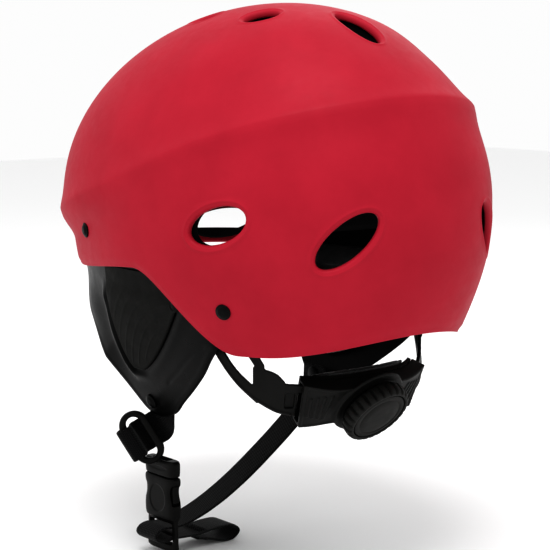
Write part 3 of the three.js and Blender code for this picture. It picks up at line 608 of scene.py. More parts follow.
def vent_windows(columns, low_rows, rows, rim, reach):
    """The block of grid cells round each vent: its columns in order, and its first and last row."""
    t = START_ANGLE + np.arange(columns) * 2 * math.pi / columns
    tt, rr = np.meshgrid(t, np.arange(rows), indexing="ij")
    grid = shell_point(tt, dome_height(tt, rr, low_rows, rows, rim))
    windows = []
    for vent in all_vents():
        _, _, a, b, _ = vent
        centre, long, short, normal = vent_axes(vent)
        p = grid - centre
        inside = np.hypot(p @ long / (a + reach), p @ short / (b + reach)) < 1
        inside &= np.abs(p @ normal) < 30
        cols = np.where(inside.any(axis=1))[0]
        line = np.where(inside.any(axis=0))[0]
        gap = np.diff(np.concatenate([cols, [cols[0] + columns]]))
        first = cols[(int(np.argmax(gap)) + 1) % len(cols)] - 1
        span = [(first + k) % columns for k in range(columns - int(gap.max()) + 3)]
        windows.append((span, max(line[0] - 1, 0), min(line[-1] + 1, rows - 1)))
    return windows


def vented_dome(columns, low_rows, rows, rim, depth, windows, grow, lip):
    """A dome sheet with a ring of quads round each vent.

    lip is a list of (outward offset, depth) rings that roll into the opening. Returns the points, faces,
    the loop at the rim and one loop for each vent."""
    t = START_ANGLE + np.arange(columns) * 2 * math.pi / columns
    tt, rr = np.meshgrid(t, np.arange(rows), indexing="ij")
    zz = dome_height(tt, rr, low_rows, rows, rim)
    grid = shell_point(tt, zz, depth(tt, zz))
    apex = np.array([[0, APEX_SHIFT, WAIST_Z + DOME_HEIGHT - float(depth(np.array(0.0), np.array(157.0)))]])
    verts = [grid.reshape(-1, 3), apex]
    count = columns * rows + 1
    keep = np.ones((columns, rows - 1), bool)
    loops, faces = [], []
    for vent, (span, j0, j1) in zip(all_vents(), windows):
        _, _, a, b, _ = vent
        centre, long, short, normal = vent_axes(vent)
        for c in span[:-1]:
            keep[c, j0:j1] = False
        loop = [c * rows + j0 for c in span]
        loop += [span[-1] * rows + j for j in range(j0 + 1, j1 + 1)]
        loop += [c * rows + j1 for c in reversed(span[:-1])]
        loop += [span[0] * rows + j for j in range(j1 - 1, j0, -1)]
        edge = grid.reshape(-1, 3)[loop] - centre
        u, v = edge @ long, edge @ short
        a, b = a + grow, b + grow
        angle = relax_angles(np.arctan2(v / b, u / a))
        e = np.stack([a * np.cos(angle), b * np.sin(angle)], axis=1)
        out = unit(np.stack([np.cos(angle) / a, np.sin(angle) / b], axis=1))
        previous = loop
        start = np.stack([u, v], axis=1)
        stop = e + out * lip[0][0]
        for s in np.linspace(0, 1, 6)[1:]:
            target = lerp(start, stop, s)
            ring = find_on_surface(vent, depth, target[:, 0], target[:, 1])
            previous, count = add_ring(verts, faces, previous, ring, count)
        for offset, sink in lip[1:]:
            target = e + out * offset
            ring = find_on_surface(vent, depth, target[:, 0], target[:, 1]) - normal * sink
            previous, count = add_ring(verts, faces, previous, ring, count)
        loops.append(previous)
    for i in range(columns):
        k = (i + 1) % columns
        for j in range(rows - 1):
            if keep[i, j]:
                faces.append((i * rows + j, k * rows + j, k * rows + j + 1, i * rows + j + 1))
        faces.append((i * rows + rows - 1, k * rows + rows - 1, columns * rows))
    return np.vstack(verts), faces, [i * rows for i in range(columns)], loops


def relax_angles(angle, rounds=30):
    """Spreads ring angles more evenly without changing their order."""
    path = np.unwrap(angle)
    turn = 2 * math.pi * np.sign(path[-1] - path[0])
    for _ in range(rounds):
        before = np.concatenate([[path[-1] - turn], path[:-1]])
        after = np.concatenate([path[1:], [path[0] + turn]])
        path = lerp(path, (before + after) / 2, 0.5)
    return path


def add_ring(verts, faces, previous, ring, count):
    current = list(range(count, count + len(ring)))
    verts.append(ring)
    n = len(ring)
    for i in range(n):
        j = (i + 1) % n
        faces.append((previous[i], previous[j], current[j], current[i]))
    return current, count + n


def thick_dome(columns, low_rows, rows, rim, depths, grow, lip, back_lip, rim_drop, rim_rings, wall_rings):
    """Outer and inner sheets joined at the rim by a rounded edge and in each vent by a wall."""
    windows = vent_windows(columns, low_rows, rows, rim, lip[0][0] + grow + 5)
    outer = vented_dome(columns, low_rows, rows, rim, depths[0], windows, grow, lip)
    inner = vented_dome(columns, low_rows, rows, rim, depths[1], windows, grow, back_lip)
    base = len(outer[0])
    verts = [outer[0], inner[0]]
    faces = outer[1] + [tuple(k + base for k in reversed(f)) for f in inner[1]]
    count = base + len(inner[0])
    points = np.vstack(verts)
    pairs = [(outer[2], inner[2], rim_drop, rim_rings)]
    pairs += [(near, far, 0.0, wall_rings) for near, far in zip(outer[3], inner[3])]
    for near, far, drop, rings in pairs:
        far = [k + base for k in far]
        a, b = points[near], points[far]
        previous = near
        for k in range(1, rings + 1):
            angle = math.pi * k / (rings + 1)
            ring = lerp(a, b, k / (rings + 1))
            if drop:
                ring = (a + b) / 2 + (a - b) / 2 * math.cos(angle) - np.array([0, 0, drop]) * math.sin(angle)
            previous, count = add_ring(verts, faces, previous, ring, count)
        n = len(near)
        faces += [(previous[i], previous[(i + 1) % n], far[(i + 1) % n], far[i]) for i in range(n)]
    return np.vstack(verts), faces


def outer_shell():
    def outer(t, z):
        return 1.6 * np.clip(1 - (z - rim_z(t)) / 5.5, 0, 1) ** 2

    def inner(t, z):
        return SHELL_THICK + 0.2 * outer(t, z)
    lip = [(4.0, 0.0), (3.5, -0.2), (3.0, -0.34), (2.5, -0.18)]
    lip += [(2.1 * (1 - math.sin(a)), 0.15 + 2.85 * (1 - math.cos(a)))
            for a in np.linspace(0, math.pi / 2, 7)]
    lip += [(0.0, 3.8)]
    verts, faces = thick_dome(300, 34, 112, lambda t: rim_z(t) + 1.5, (outer, inner), 0.0, lip,
                              [(3.6, 0.0), (1.2, 0.6)], 1.5, 7, 1)
    return make("shell", verts, faces, SHELL_RED, "helmet", ["outer_shell"])


# ---------------------------------------------------------------- liner and comfort pads
def liner_rim(t):
    angle = away(t)
    sides = smooth(24, 40, angle) * (1 - smooth(84, 104, angle))
    return lerp(rim_z(t) + 6, 20.0, sides)


def foam_liner():
    def outer(t, z):
        angle = away(t)
        flange = smooth(36, 50, angle) * (1 - smooth(128, 140, angle)) * (1 - smooth(40, 54, z))
        return LINER_OUTER + FLANGE_POCKET * flange

    def inner(t, z):
        # Moulded air channels run up the inner face between the vents.
        angle = away(t)
        channels = sum(np.exp(-(((angle - c) / 2.4) ** 2)) for c in (38, 90, 141))
        cross = np.exp(-(((z - 96) / 3.0) ** 2))
        fade = smooth(20, 40, z) * (1 - smooth(120, 140, z))
        return LINER_INNER - 1.6 * np.clip(channels + cross, 0, 1) * fade
    lip = [(2.6 * (1 - math.sin(a)), 2.2 * (1 - math.cos(a))) for a in np.linspace(0, math.pi / 2, 5)]
    verts, faces = thick_dome(220, 14, 74, lambda t: liner_rim(t) + 3, (outer, inner), 1.6, lip,
                              [(2.6, 0.0), (1.8, -0.3), (0.8, -0.9)], 3.2, 9, 3)
    obj = make("liner", verts, faces, LINER_FOAM, "helmet", ["foam_liner"])


PAD_RECORDS = []


def soft_piece(obj, held, cap):
    """Registers a pad for the cloth run: held marks the sewn points of its front; its back is glued."""
    held = np.ravel(held)
    PAD_RECORDS.append((obj, np.concatenate([held, np.ones(held.size, bool)]), cap))


def inflate_pads():
    """One cloth run for all pads: each swells under pressure between its pinned back and its seams."""
    tools = []
    for obj, pinned, cap in PAD_RECORDS:
        tool = place("cloth_tool", obj.data.copy())
        tool.matrix_world = obj.matrix_world.copy()
        group = tool.vertex_groups.new(name="pin")
        group.add([int(i) for i in np.flatnonzero(pinned)], 1.0, "REPLACE")
        cloth = tool.modifiers.new("cloth", "CLOTH")
        settings = cloth.settings
        settings.quality = 5
        settings.mass = CLOTH_MASS
        settings.tension_stiffness = CLOTH_STIFF
        settings.compression_stiffness = CLOTH_STIFF
        settings.shear_stiffness = CLOTH_STIFF / 2
        settings.bending_stiffness = 0.02
        settings.use_pressure = True
        settings.uniform_pressure_force = CLOTH_PRESSURE
        settings.vertex_group_mass = "pin"
        settings.effector_weights.gravity = 0
        cloth.collision_settings.use_collision = False
        cloth.point_cache.frame_start = 1
        cloth.point_cache.frame_end = CLOTH_FRAMES
        tools.append(tool)
    scene = bpy.context.scene
    for number in range(1, CLOTH_FRAMES + 1):
        scene.frame_set(number)
    graph = bpy.context.evaluated_depsgraph_get()
    for tool, (obj, _, cap) in zip(tools, PAD_RECORDS):
        rest = np.empty(len(obj.data.vertices) * 3)
        obj.data.vertices.foreach_get("co", rest)
        after = np.empty_like(rest)
        tool.evaluated_get(graph).data.vertices.foreach_get("co", after)
        rest, after = rest.reshape(-1, 3), after.reshape(-1, 3)
        move = np.nan_to_num(after - rest)
        reach = np.linalg.norm(move, axis=1, keepdims=True)
        move *= np.minimum(1, cap * MM / np.maximum(reach, 1e-9))
        obj.data.vertices.foreach_set("co", (rest + move).ravel())
        obj.data.update()
        discard(tool)
    scene.frame_set(1)


def quilted_pad(name, node, t0, t1, z0, z1, columns, rows, channels, mirror=False):
    """A knitted pad on the liner: crowned between its sewn channels, with a flat welted edge."""
    s = -np.cos(np.linspace(0, math.pi, columns))
    r = -np.cos(np.linspace(0, math.pi, rows))
    u, v = np.meshgrid(s, r, indexing="ij")
    round_u, round_v = u * (1 - 0.1 * v ** 6), v * (1 - 0.16 * u ** 6)
    t = np.radians(lerp(t0, t1, (round_u + 1) / 2))
    z = lerp(z0, z1, (round_v + 1) / 2)
    edge = (np.abs(u) ** 5 + np.abs(v) ** 5) ** 0.2
    crown = np.clip(1 - np.clip(edge, 0, 1) ** 4, 0, 1) ** 0.5
    valley = sum(np.exp(-(((u - c) / 0.035) ** 2)) for c in channels)
    ripple = 0.25 * np.sin(t * 61 + z * 0.3) * np.sin(z * 0.55 + t * 17) * crown
    swell = (PAD_INNER - PAD_OUTER - 1.8) * crown * (1 - 0.55 * valley)
    front = shell_point(t, z, PAD_OUTER + 0.9 + swell + ripple)
    back = shell_point(t, z, PAD_OUTER + 0.0 * z)
    obj = make(name, *closed_sheet(front, back), PAD_KNIT, "helmet", [node], mirror=mirror)
    soft_piece(obj, (crown < 0.35) | (valley > 0.6), 1.5)


def crown_pad():
    """A round pad under the crown, sewn in a ring and a cross."""
    radius, rings, sides = 34.0, 26, 96
    angle = np.arange(sides) * 2 * math.pi / sides
    r = radius * np.sin(np.linspace(0, math.pi / 2, rings))[1:]
    rr, aa = np.meshgrid(r, angle, indexing="ij")
    top = WAIST_Z + DOME_HEIGHT - PAD_OUTER
    y = APEX_SHIFT - 1

    def surface(depth_at):
        x, yy = rr * np.sin(aa), rr * np.cos(aa)
        drop = (rr / radius) ** 2 * 5.2
        centre = np.array([[0, y, top - depth_at(np.array(0.0), np.array(0.0))]])
        return np.vstack([np.stack([x, yy + y, top - drop - depth_at(rr, aa)], -1).reshape(-1, 3), centre])

    def soft(r_, a_):
        crown = np.clip(1 - (r_ / radius) ** 4, 0, 1) ** 0.5
        seam = np.exp(-(((r_ - 19) / 1.1) ** 2))
        off_cross = np.minimum(np.abs(np.sin(a_)), np.abs(np.cos(a_))) * r_
        cross = np.exp(-((off_cross / 1.1) ** 2)) * smooth(19, 21, r_)
        return 0.9 + 5.4 * crown * (1 - 0.5 * np.clip(seam + cross, 0, 1))
    low, high = surface(soft), surface(lambda r_, a_: 0.0 * r_)
    n = len(low)
    faces = []
    for side in (0, 1):
        for i in range(rings - 2):
            for j in range(sides):
                k = (j + 1) % sides
                quad = (i * sides + j, i * sides + k, (i + 1) * sides + k, (i + 1) * sides + j)
                faces.append(tuple(side * n + q for q in quad))
        faces += [(side * n + j, side * n + (j + 1) % sides, side * n + n - 1) for j in range(sides)]
    last = (rings - 2) * sides
    for j in range(last, last + sides):
        k = last + (j + 1 - last) % sides
        faces.append((j, k, n + k, n + j))
    obj = make("crown_cushion", np.vstack([low, high]), faces, PAD_KNIT, "helmet", ["crown_pad"])
    depth = low[:, 2] - high[:, 2]
    soft_piece(obj, (np.abs(depth) < 1.8) | (np.abs(np.append(rr.ravel(), 0) - 19) < 0.8), 1.0)


# ---------------------------------------------------------------- rivets
def rivet_profile(shaft):
    """A domed head with a thin flange and a shallow dimple, on its shaft."""
    profile = [(0, -shaft), (2, -shaft), (2, 0), (4.25, 0)]
    profile += arc(3.95, 0.45, 0.4, -20, 70, 4)
    profile += [(3.5, 0.95), (3.1, 1.35), (2.4, 1.78), (1.6, 1.98), (0.9, 1.95), (0, 1.9)]
    return profile


def shell_rivets():
    for name, (azimuth, height) in RIVETS.items():
        t, z = math.radians(azimuth), height
        normal = shell_normal(np.array(t), np.array(z))
        solid = turned(shell_point(t, z) + normal * 0.15, normal, rivet_profile(9.4), 48)
        both_sides(f"{name}_rivet_head", solid, RIVET_BLACK, f"{name}_rivet", 50)


def strap_rivets():
    y, z = STRAP_PIVOT
    outer = guard_x(np.array(y), np.array(z))
    inner_end = STRAP_TOP_X - 2.9
    normal = unit([1, 0, -GUARD_SLOPE])
    head = turned([outer, y, z] + normal * 0.2, normal, rivet_profile(2.2), 48)
    shank = rod([outer, y, z], [inner_end + 1, y, z], 1.9, 32)
    profile = [(0, -0.2), (4.4, -0.2), (4.4, 0.5), (3.9, 1.0), (0, 1.3)]
    cap = turned([inner_end + 1.3, y, z], [-1, 0, 0], profile, 48)
    both_sides("guard_rivet", merge_solids([head, shank, cap]), RIVET_BLACK, "strap_rivet", 50)


# ---------------------------------------------------------------- ear guards
GUARD_REAR = [(-79, -18), (-74, -6), (-66, 5), (-56, 19), (-44, 34), (-34, 44), (-24, 55), (-12, 70), (2, 75),
              (14, 58), (38, -42)]
PANEL_LOW, PANEL_HIGH, PANEL_HALF, PANEL_MIDDLE, PANEL_LEAN = -50, 12, 39, -24.4, 0.53
FLAP_GROOVE = [(42, -27), (31, -32), (20, -39.5), (10.4, -46.4), (-2, -54.5)]
EAR_PAD_FRONT = [(-58, -34), (-50, -42), (-30, -50), (-8, -54), (8, -50)]
EAR_PAD_REAR = [(-58, -20), (-50, -2), (-30, 12), (-8, 17), (8, 15)]


def guard_front(z):
    """Front edge: one even curve below the shell, drawn back where it runs up between shell and liner."""
    below = np.clip((6 - z) / 85, 0, 1)
    return np.where(z < 6, -83 + 50 * below ** 1.95, eased([(6, -83), (22, -78), (38, -60)], z))


def panel_front(z):
    return PANEL_MIDDLE + PANEL_LEAN * (z + 45) - panel_half(z)


def panel_rear(z):
    return PANEL_MIDDLE + PANEL_LEAN * (z + 45) + panel_half(z)


def panel_half(z):
    below = np.clip((PANEL_HIGH - z) / (PANEL_HIGH - PANEL_LOW + 1.5), 0, 1)
    return np.maximum(PANEL_HALF * (1 - below ** 1.3) ** 0.6, 3)


def edge_y(edge, z):
    return edge(z) if callable(edge) else eased(edge, z)


def shell_x(y, z, depth):
    low, high = np.full(np.shape(y), math.radians(5)), np.full(np.shape(y), math.radians(175))
    for _ in range(30):
        middle = (low + high) / 2
        further = shell_point(middle, z, depth)[..., 1] > y
        low, high = np.where(further, middle, low), np.where(further, high, middle)
    return shell_point((low + high) / 2, z, depth)[..., 0]


def guard_x(y, z):
    lowest = -30 + 8 * np.log(1 + np.exp((z + 30) / 8))
    inside = shell_x(y, lowest, GUARD_INSET)
    leaning = GUARD_X + GUARD_SLOPE * z - GUARD_BOW * y * y
    flare = smooth(42, 80, -y) * smooth(-4, 24, -z) * smooth(-84, -42, z)
    return np.minimum(inside, leaning) - 0.8 * np.exp(-np.abs(inside - leaning) / 4) + GUARD_FLARE * flare


def outline_of(front, rear, low, high, steps=60):
    z = np.linspace(low, high, steps)
    left = np.stack([edge_y(front, z), z], axis=1)
    right = np.stack([edge_y(rear, z), z], axis=1)
    return np.vstack([left[::-1], right])


def patch(front, rear, low, high, columns, rows, corner=0.0):
    """Grid of (y, z) between two edges, denser toward the edges, with rounded lower corners."""
    s = (1 - np.cos(np.linspace(0, math.pi, columns))) / 2
    r = (1 - np.cos(np.linspace(0, math.pi, rows))) / 2
    u, v = np.meshgrid(s, r, indexing="ij")
    z = lerp(low, high, v)
    nip = np.clip((low + corner - z) / max(corner, 1e-6), 0, 1) if corner else 0 * z
    inset = corner * (1 - np.sqrt(1 - nip * nip))
    y = lerp(edge_y(front, z) + inset, edge_y(rear, z) - inset, u)
    return y, z


def edge_gap(y, z):
    """Distance of each grid point to the grid's own front, rear and lower edges."""
    line = np.vstack([np.stack([y[0], z[0]], 1)[::-1], np.stack([y[:, 0], z[:, 0]], 1),
                      np.stack([y[-1], z[-1]], 1)])
    return polyline_distance(np.stack([y.ravel(), z.ravel()], 1), line).reshape(y.shape)


def rounding(gap, radius):
    """How far a face falls back toward its edge for a quarter-round of that radius."""
    x = np.clip(gap / radius, 0, 1)
    return radius * (1 - np.sqrt(np.clip(1 - (1 - x) ** 2, 0, 1)))


def ear_guard():
    y, z = patch(guard_front, GUARD_REAR, -79, 38, 84, 120, 5)
    gap = edge_gap(y, z)
    panel = outline_of(panel_front, panel_rear, PANEL_LOW, PANEL_HIGH)
    points = np.stack([y.ravel(), z.ravel()], 1)
    near = polyline_distance(points, panel).reshape(y.shape)
    inside = (z > PANEL_LOW) & (z < PANEL_HIGH) & (y > panel_front(z)) & (y < panel_rear(z))
    near = np.where(inside, -near, near)
    middle = PANEL_MIDDLE + PANEL_LEAN * (z + 45)
    ahead = 0.22 + 0.78 * smooth(10, -8, y - middle)
    ridge = 2.5 * np.exp(-(((near - 3.6) / np.where(near < 3.6, 1.7, 3.0)) ** 2)) * smooth(4, -10, z) * ahead
    groove = 0.4 * np.exp(-((polyline_distance(points, np.array(FLAP_GROOVE)).reshape(y.shape) / 0.8) ** 2))
    bead = 0.25 * np.exp(-(((gap - 2.2) / 1.5) ** 2))
    base = guard_x(y, z)
    round_off = rounding(gap, 1.15)
    front = np.stack([base + ridge * smooth(0, 4, gap) + bead - groove - round_off, y, z], -1)
    back = np.stack([base - GUARD_THICK + round_off + 0.75 * ridge * smooth(0, 6, gap), y, z], -1)
    return closed_sheet(front, back)


def ear_panel():
    y, z = patch(panel_front, panel_rear, PANEL_LOW, PANEL_HIGH, 100, 100)
    gap = edge_gap(y, z)
    sweep = np.hypot(y - 34, z + 74)
    lines = sum(np.exp(-(((sweep - r) / 0.55) ** 2)) for r in (52, 58, 64, 70, 76, 82, 88))
    fade = smooth(2.0, 5.0, gap)
    under = smooth(-6, 3, z)
    front = guard_x(y, z) + 1.75 - 1.1 * under + 0.25 * lines * fade * (1 - under) - rounding(gap, 0.9)
    back = guard_x(y, z) + 0.6 - 0.4 * under
    return closed_sheet(np.stack([front, y, z], -1), np.stack([back, y, z], -1))


def ear_pad():
    """A thick pad on the guard's inner face, sewn down in a ring round the ear."""
    low, high = -58, 8
    y, z = patch(EAR_PAD_FRONT, EAR_PAD_REAR, low, high, 56, 56, 6)
    gap = np.minimum(edge_gap(y, z), high - z)
    crown = np.clip(gap / 11, 0, 1)
    crown = np.sqrt(1 - (1 - crown) ** 2)
    ring = np.exp(-(((gap - 13) / 1.6) ** 2))
    ear = smooth(13, 18, gap)
    puff = 9.8 * crown - 3.2 * ring - 3.0 * ear + 0.3 * np.sin(y * 0.5 + 1) * np.sin(z * 0.43) * crown
    back = guard_x(y, z) - GUARD_THICK - 0.7
    front = back - 1.0 - puff
    solid = closed_sheet(np.stack([front, y, z], -1), np.stack([back, y, z], -1))
    return solid, (gap < 2) | ((ring > 0.6) & (gap > 11))


def cradle_studs():
    """A flush disc on the panel with a shallow ring, and its shank to the cradle's swivel."""
    _, y, z = ANCHOR
    outer = float(guard_x(np.array(y), np.array(z)))
    profile = [(0, -0.4), (4.3, -0.4), (4.3, 1.5)] + arc(3.9, 1.5, 0.4, 0, 80, 4)
    profile += [(3.2, 1.9), (3.0, 1.7), (2.6, 1.7), (2.4, 1.95), (0, 2.05)]
    head = turned([outer, y, z], [1, 0, 0], profile, 56)
    shank = rod([80.3, y, z], [outer, y, z], 1.95, 32)
    both_sides("cradle_disc", merge_solids([head, shank]), PANEL_MATT, "cradle_stud", 50)


def ear_assembly():
    guard, panel = ear_guard(), ear_panel()
    pad, held = ear_pad()
    for side in ("left", "right"):
        one_side(side, "guard", guard, GUARD_BLACK, "ear_guard")
        one_side(side, "panel", panel, PANEL_MATT, "ear_panel")
        soft_piece(one_side(side, "ear_cushion", pad, PAD_KNIT, "ear_pad"), held, 1.2)


# ---------------------------------------------------------------- webbing and buckle
EYE_LONG = unit([0.396, -0.332, 0.854])
EYE_ACROSS = unit(np.cross(EYE_LONG, [0.637, 0.759, 0.139]))
EYE_NORMAL = np.cross(EYE_ACROSS, EYE_LONG)
EYE_CENTRE = np.array([70.0, -33.4, -92.2])
EYE_BAR = EYE_CENTRE - 6.5 * EYE_ACROSS
# The fold round the eye's outer bar, as distances across the ring and out of it.
FOLD = [(4.8, -4.6), (4.1, -1.2), (4, 1.8), (3, 3.6), (0, 4), (-3, 3.6), (-4.1, 1.8), (-4.1, -1.8),
        (-3, -3.7), (-0.8, -4.2)]
LEFT_STRAP = [(58.6, -27, -64.5), (58.6, -27, -72), (58.2, -27.6, -79), (57.9, -31, -85.5),
              (62.4, -36, -90.2)]
LEFT_STRAP += [tuple(EYE_BAR + across * EYE_ACROSS + out * EYE_NORMAL) for across, out in FOLD]
RIGHT_STRAP = [(-58.6, -64.5), (-58.6, -71), (-58.4, -78), (-56, -84), (-49, -89.5), (-41, -95.5),
               (-33, -101.5), (-25, -107.3), (-8.5, -118.5), (8, -128.6), (24, -136.6), (38, -142),
               (50, -145), (58.7, -145.5), (64.5, -144.9), (69.2, -146.2), (71.2, -149), (69.2, -151.8),
               (64.5, -152.8), (58.7, -152.2), (50, -152.6), (42, -153), (33, -152.4), (22, -151.6),
               (13.5, -152.6), (9.5, -156.2), (13.5, -160.2), (21, -160.4), (32, -157.4), (41, -155.4)]


def webbing(stations, start_width, end_width, step=1.4, turn=(0.34, 0.72)):
    """A flat strap with rounded selvages along a smooth route, and its weave coordinates."""
    rough = np.linalg.norm(np.diff(np.array(stations, float), axis=0), axis=1).sum()
    path, length = curve_through(stations, max(int(rough / step), 8))
    n = len(path)
    tangent = unit(np.gradient(path, axis=0))
    part = np.linspace(0, 1, n)
    width = lerp(np.array(start_width, float), np.array(end_width, float), smooth(*turn, part)[:, None])
    width = unit(width - np.sum(width * tangent, 1, keepdims=True) * tangent)
    normal = np.cross(tangent, width)
    sides = 28
    across, over = circle(sides, 0.55, 0.45)
    # The selvages are a little thicker than the body of the weave.
    thick = WEB_THICK / 2 * (0.84 + 0.16 * smooth(0.72, 0.86, np.abs(across)))
    along = part * length
    lay = 0.08 * np.sin(along * 0.21) + 0.05 * np.sin(along * 0.53 + 1)
    verts, uv = [], []
    for i in range(n):
        ring = path[i] + np.outer(across * WEB_WIDTH / 2 * (1 + 0.004 * math.sin(along[i] * 1.9)), width[i])
        ring = ring + np.outer(over * thick + lay[i] * 0.3, normal[i])
        verts.append(ring)
        uv += [(along[i], across[k] * WEB_WIDTH / 2 + (40 if over[k] < 0 else 0)) for k in range(sides)]
    return np.vstack(verts), tube_faces(n, sides), uv


def tail_stitches():
    """A box-stitched patch: short thread lumps in rows across the webbing, on both faces."""
    centre, rows, length = np.array([36, STRAP_Y, -152.5]), 4, 7
    tangent, width, normal = np.array([[-1.0, 0, 0], [0, 1.0, 0], [0, 0, 1.0]])
    solids = []
    for side in (-1, 1):
        for row in range(rows):
            shift = (row - (rows - 1) / 2) * length / rows
            for k in range(9):
                at = centre + tangent * shift + width * (k - 4) * 1.9 + normal * side * 0.86
                solids.append(thread(at, width, normal * side))
    make("tail_stitches", *merge_solids(solids), WEBBING, "strap_socket")


def thread(at, along, up):
    """One stitch: a short fat thread that dives into the cloth at both ends."""
    across = np.cross(along, up)
    verts = []
    steps, sides = 5, 6
    for i in range(steps):
        s = i / (steps - 1) * 2 - 1
        radius = 0.3 * math.sqrt(max(1 - 0.7 * s * s, 0.05))
        for k in range(sides):
            a = 2 * math.pi * k / sides
            verts.append(at + along * s * 0.75 + across * radius * math.cos(a)
                         + up * (radius * math.sin(a) - 0.25 * s * s))
    return np.array(verts), tube_faces(steps, sides)


def straps():
    verts, faces, uv = webbing(LEFT_STRAP, (0, -1, 0), EYE_LONG, 0.7, (0.2, 0.46))
    make("left_webbing", verts, faces, WEBBING, "chin_strap", ["left_strap"], uv=uv)
    route = [(x, STRAP_PIVOT[0] - i / 3 if i < 4 else STRAP_Y, z) for i, (x, z) in enumerate(RIGHT_STRAP)]
    verts, faces, uv = webbing(route, (0, 1, 0), (0, 1, 0))
    strap = make("right_webbing", verts, faces, WEBBING, None, ["right_strap"], uv=uv)
    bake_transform(strap)
    tail_stitches()


def rounded_loft(stations, power=4.0, y=STRAP_Y):
    """A closed form along Z with rounded-rectangle sections; stations are (z, half X, half Y)."""
    sides = 56
    along_x, along_y = circle(sides, 2 / power, 2 / power)
    rings = [np.stack([BUCKLE_X + half_x * along_x, y + half_y * along_y, np.full(sides, float(z))], 1)
             for z, half_x, half_y in stations]
    verts = np.vstack(rings)
    faces = tube_faces(len(stations), sides)
    if stations[-1][0] < stations[0][0]:
        faces = [tuple(reversed(face)) for face in faces]
    return verts, faces


def rounded_slot(z0, z1, half_x, half_y, power=6.0, y=STRAP_Y):
    """A cutter for an opening between two heights, with rounded corners."""
    r = 0.6
    steps = [(z0, half_x, half_y - r), (z0 + r, half_x, half_y)]
    steps += [(z1 - r, half_x, half_y), (z1, half_x, half_y - r)]
    return rounded_loft(steps, power, y)


def face_cutters(depth, z, half_y, half_z, sides=64):
    """An oval cutter into each of the buckle's two faces, from a depth measured from its middle."""
    across, up = circle(sides)
    cutters = []
    for side in (-1, 1):
        y, height = STRAP_Y + half_y * across, z + half_z * up
        verts = [np.stack([np.full(sides, BUCKLE_X + side * d), y, height], 1) for d in (depth, 6)]
        cutters.append((np.vstack(verts), tube_faces(2, sides)))
    return cutters


def carve(obj, cutters):
    """Subtracts closed cutters from a piece and applies the result."""
    made = []
    for verts, faces in cutters:
        mesh = bpy.data.meshes.new("cutter")
        mesh.from_pydata([tuple(v * MM) for v in np.asarray(verts)], [], faces)
        work = bmesh.new()
        work.from_mesh(mesh)
        bmesh.ops.recalc_face_normals(work, faces=work.faces)
        work.to_mesh(mesh)
        work.free()
        tool = place("cutter", mesh)
        made.append(tool)
        modifier = obj.modifiers.new("carve", "BOOLEAN")
        modifier.operation = "DIFFERENCE"
        modifier.object = tool
    bpy.context.view_layer.update()
    apply_modifiers(obj)
    for tool in made:
        discard(tool)


def eye_ring(power=2.6, sides=28, around=120):
    """The oval webbing eye: a rounded section swept round a stadium."""
    straight, radius, half_wide, half_thick = 8.0, 6.5, 2.5, 2.0
    total = 2 * (2 * straight + math.pi * radius)
    verts = []
    wide, thick = circle(sides, 2 / power, 2 / power)
    wide, thick = wide * half_wide, thick * half_thick
    for i in range(around):
        at = total * i / around
        second = at >= total / 2
        run = at - total / 2 if second else at
        if run < 2 * straight:
            centre, out = np.array([-straight + run, -radius]), np.array([0.0, -1.0])
        else:
            turn = (run - 2 * straight) / radius
            out = np.array([math.sin(turn), -math.cos(turn)])
            centre = np.array([straight, 0.0]) + radius * out
        if second:
            centre, out = -centre, -out
        base = EYE_CENTRE + centre[0] * EYE_LONG + centre[1] * EYE_ACROSS
        # The ring thins toward its ends, where the slot reaches further.
        ring_out = out[0] * EYE_LONG + out[1] * EYE_ACROSS
        slim = 1 - 0.3 * abs(out[0])
        spread = wide * slim + (1 - slim) * half_wide
        verts.append(base + np.outer(spread, ring_out) + np.outer(thick, EYE_NORMAL))
    return np.vstack(verts), tube_faces(around, sides, loop=True)


def buckle_plug():
    """The half with the webbing eye, its shoulder block and the guide tongue."""
    block = rounded_loft([(-114.9, 3.7, 13.0), (-114.3, 4.1, 13.6), (-112.5, 4.2, 13.9), (-109.5, 4.2, 14.1),
                          (-106.8, 4.1, 14.1), (-105.7, 3.8, 13.6), (-105.2, 3.2, 12.8)])
    tongue = rounded_loft([(-134, 1.0, 1.4), (-133, 1.5, 2.2), (-113, 1.5, 2.2)], 4)
    solid = merge_solids([block, tongue, eye_ring()])
    obj = make("buckle_plug", *solid, BUCKLE_BLACK, "chin_strap", ["buckle_male"])
    fuse(obj, 0.32, 4)
    sockets = [rounded_slot(-117, -111.5, 2.5, 4.2, y=STRAP_Y + side * 8.9) for side in (-1, 1)]
    carve(obj, [rounded_slot(-107.8, -103, 2.6, 7.5)] + sockets + face_cutters(3.9, -110.1, 9.5, 1.3))
    fuse(obj, 0.3, 3, 0.5)


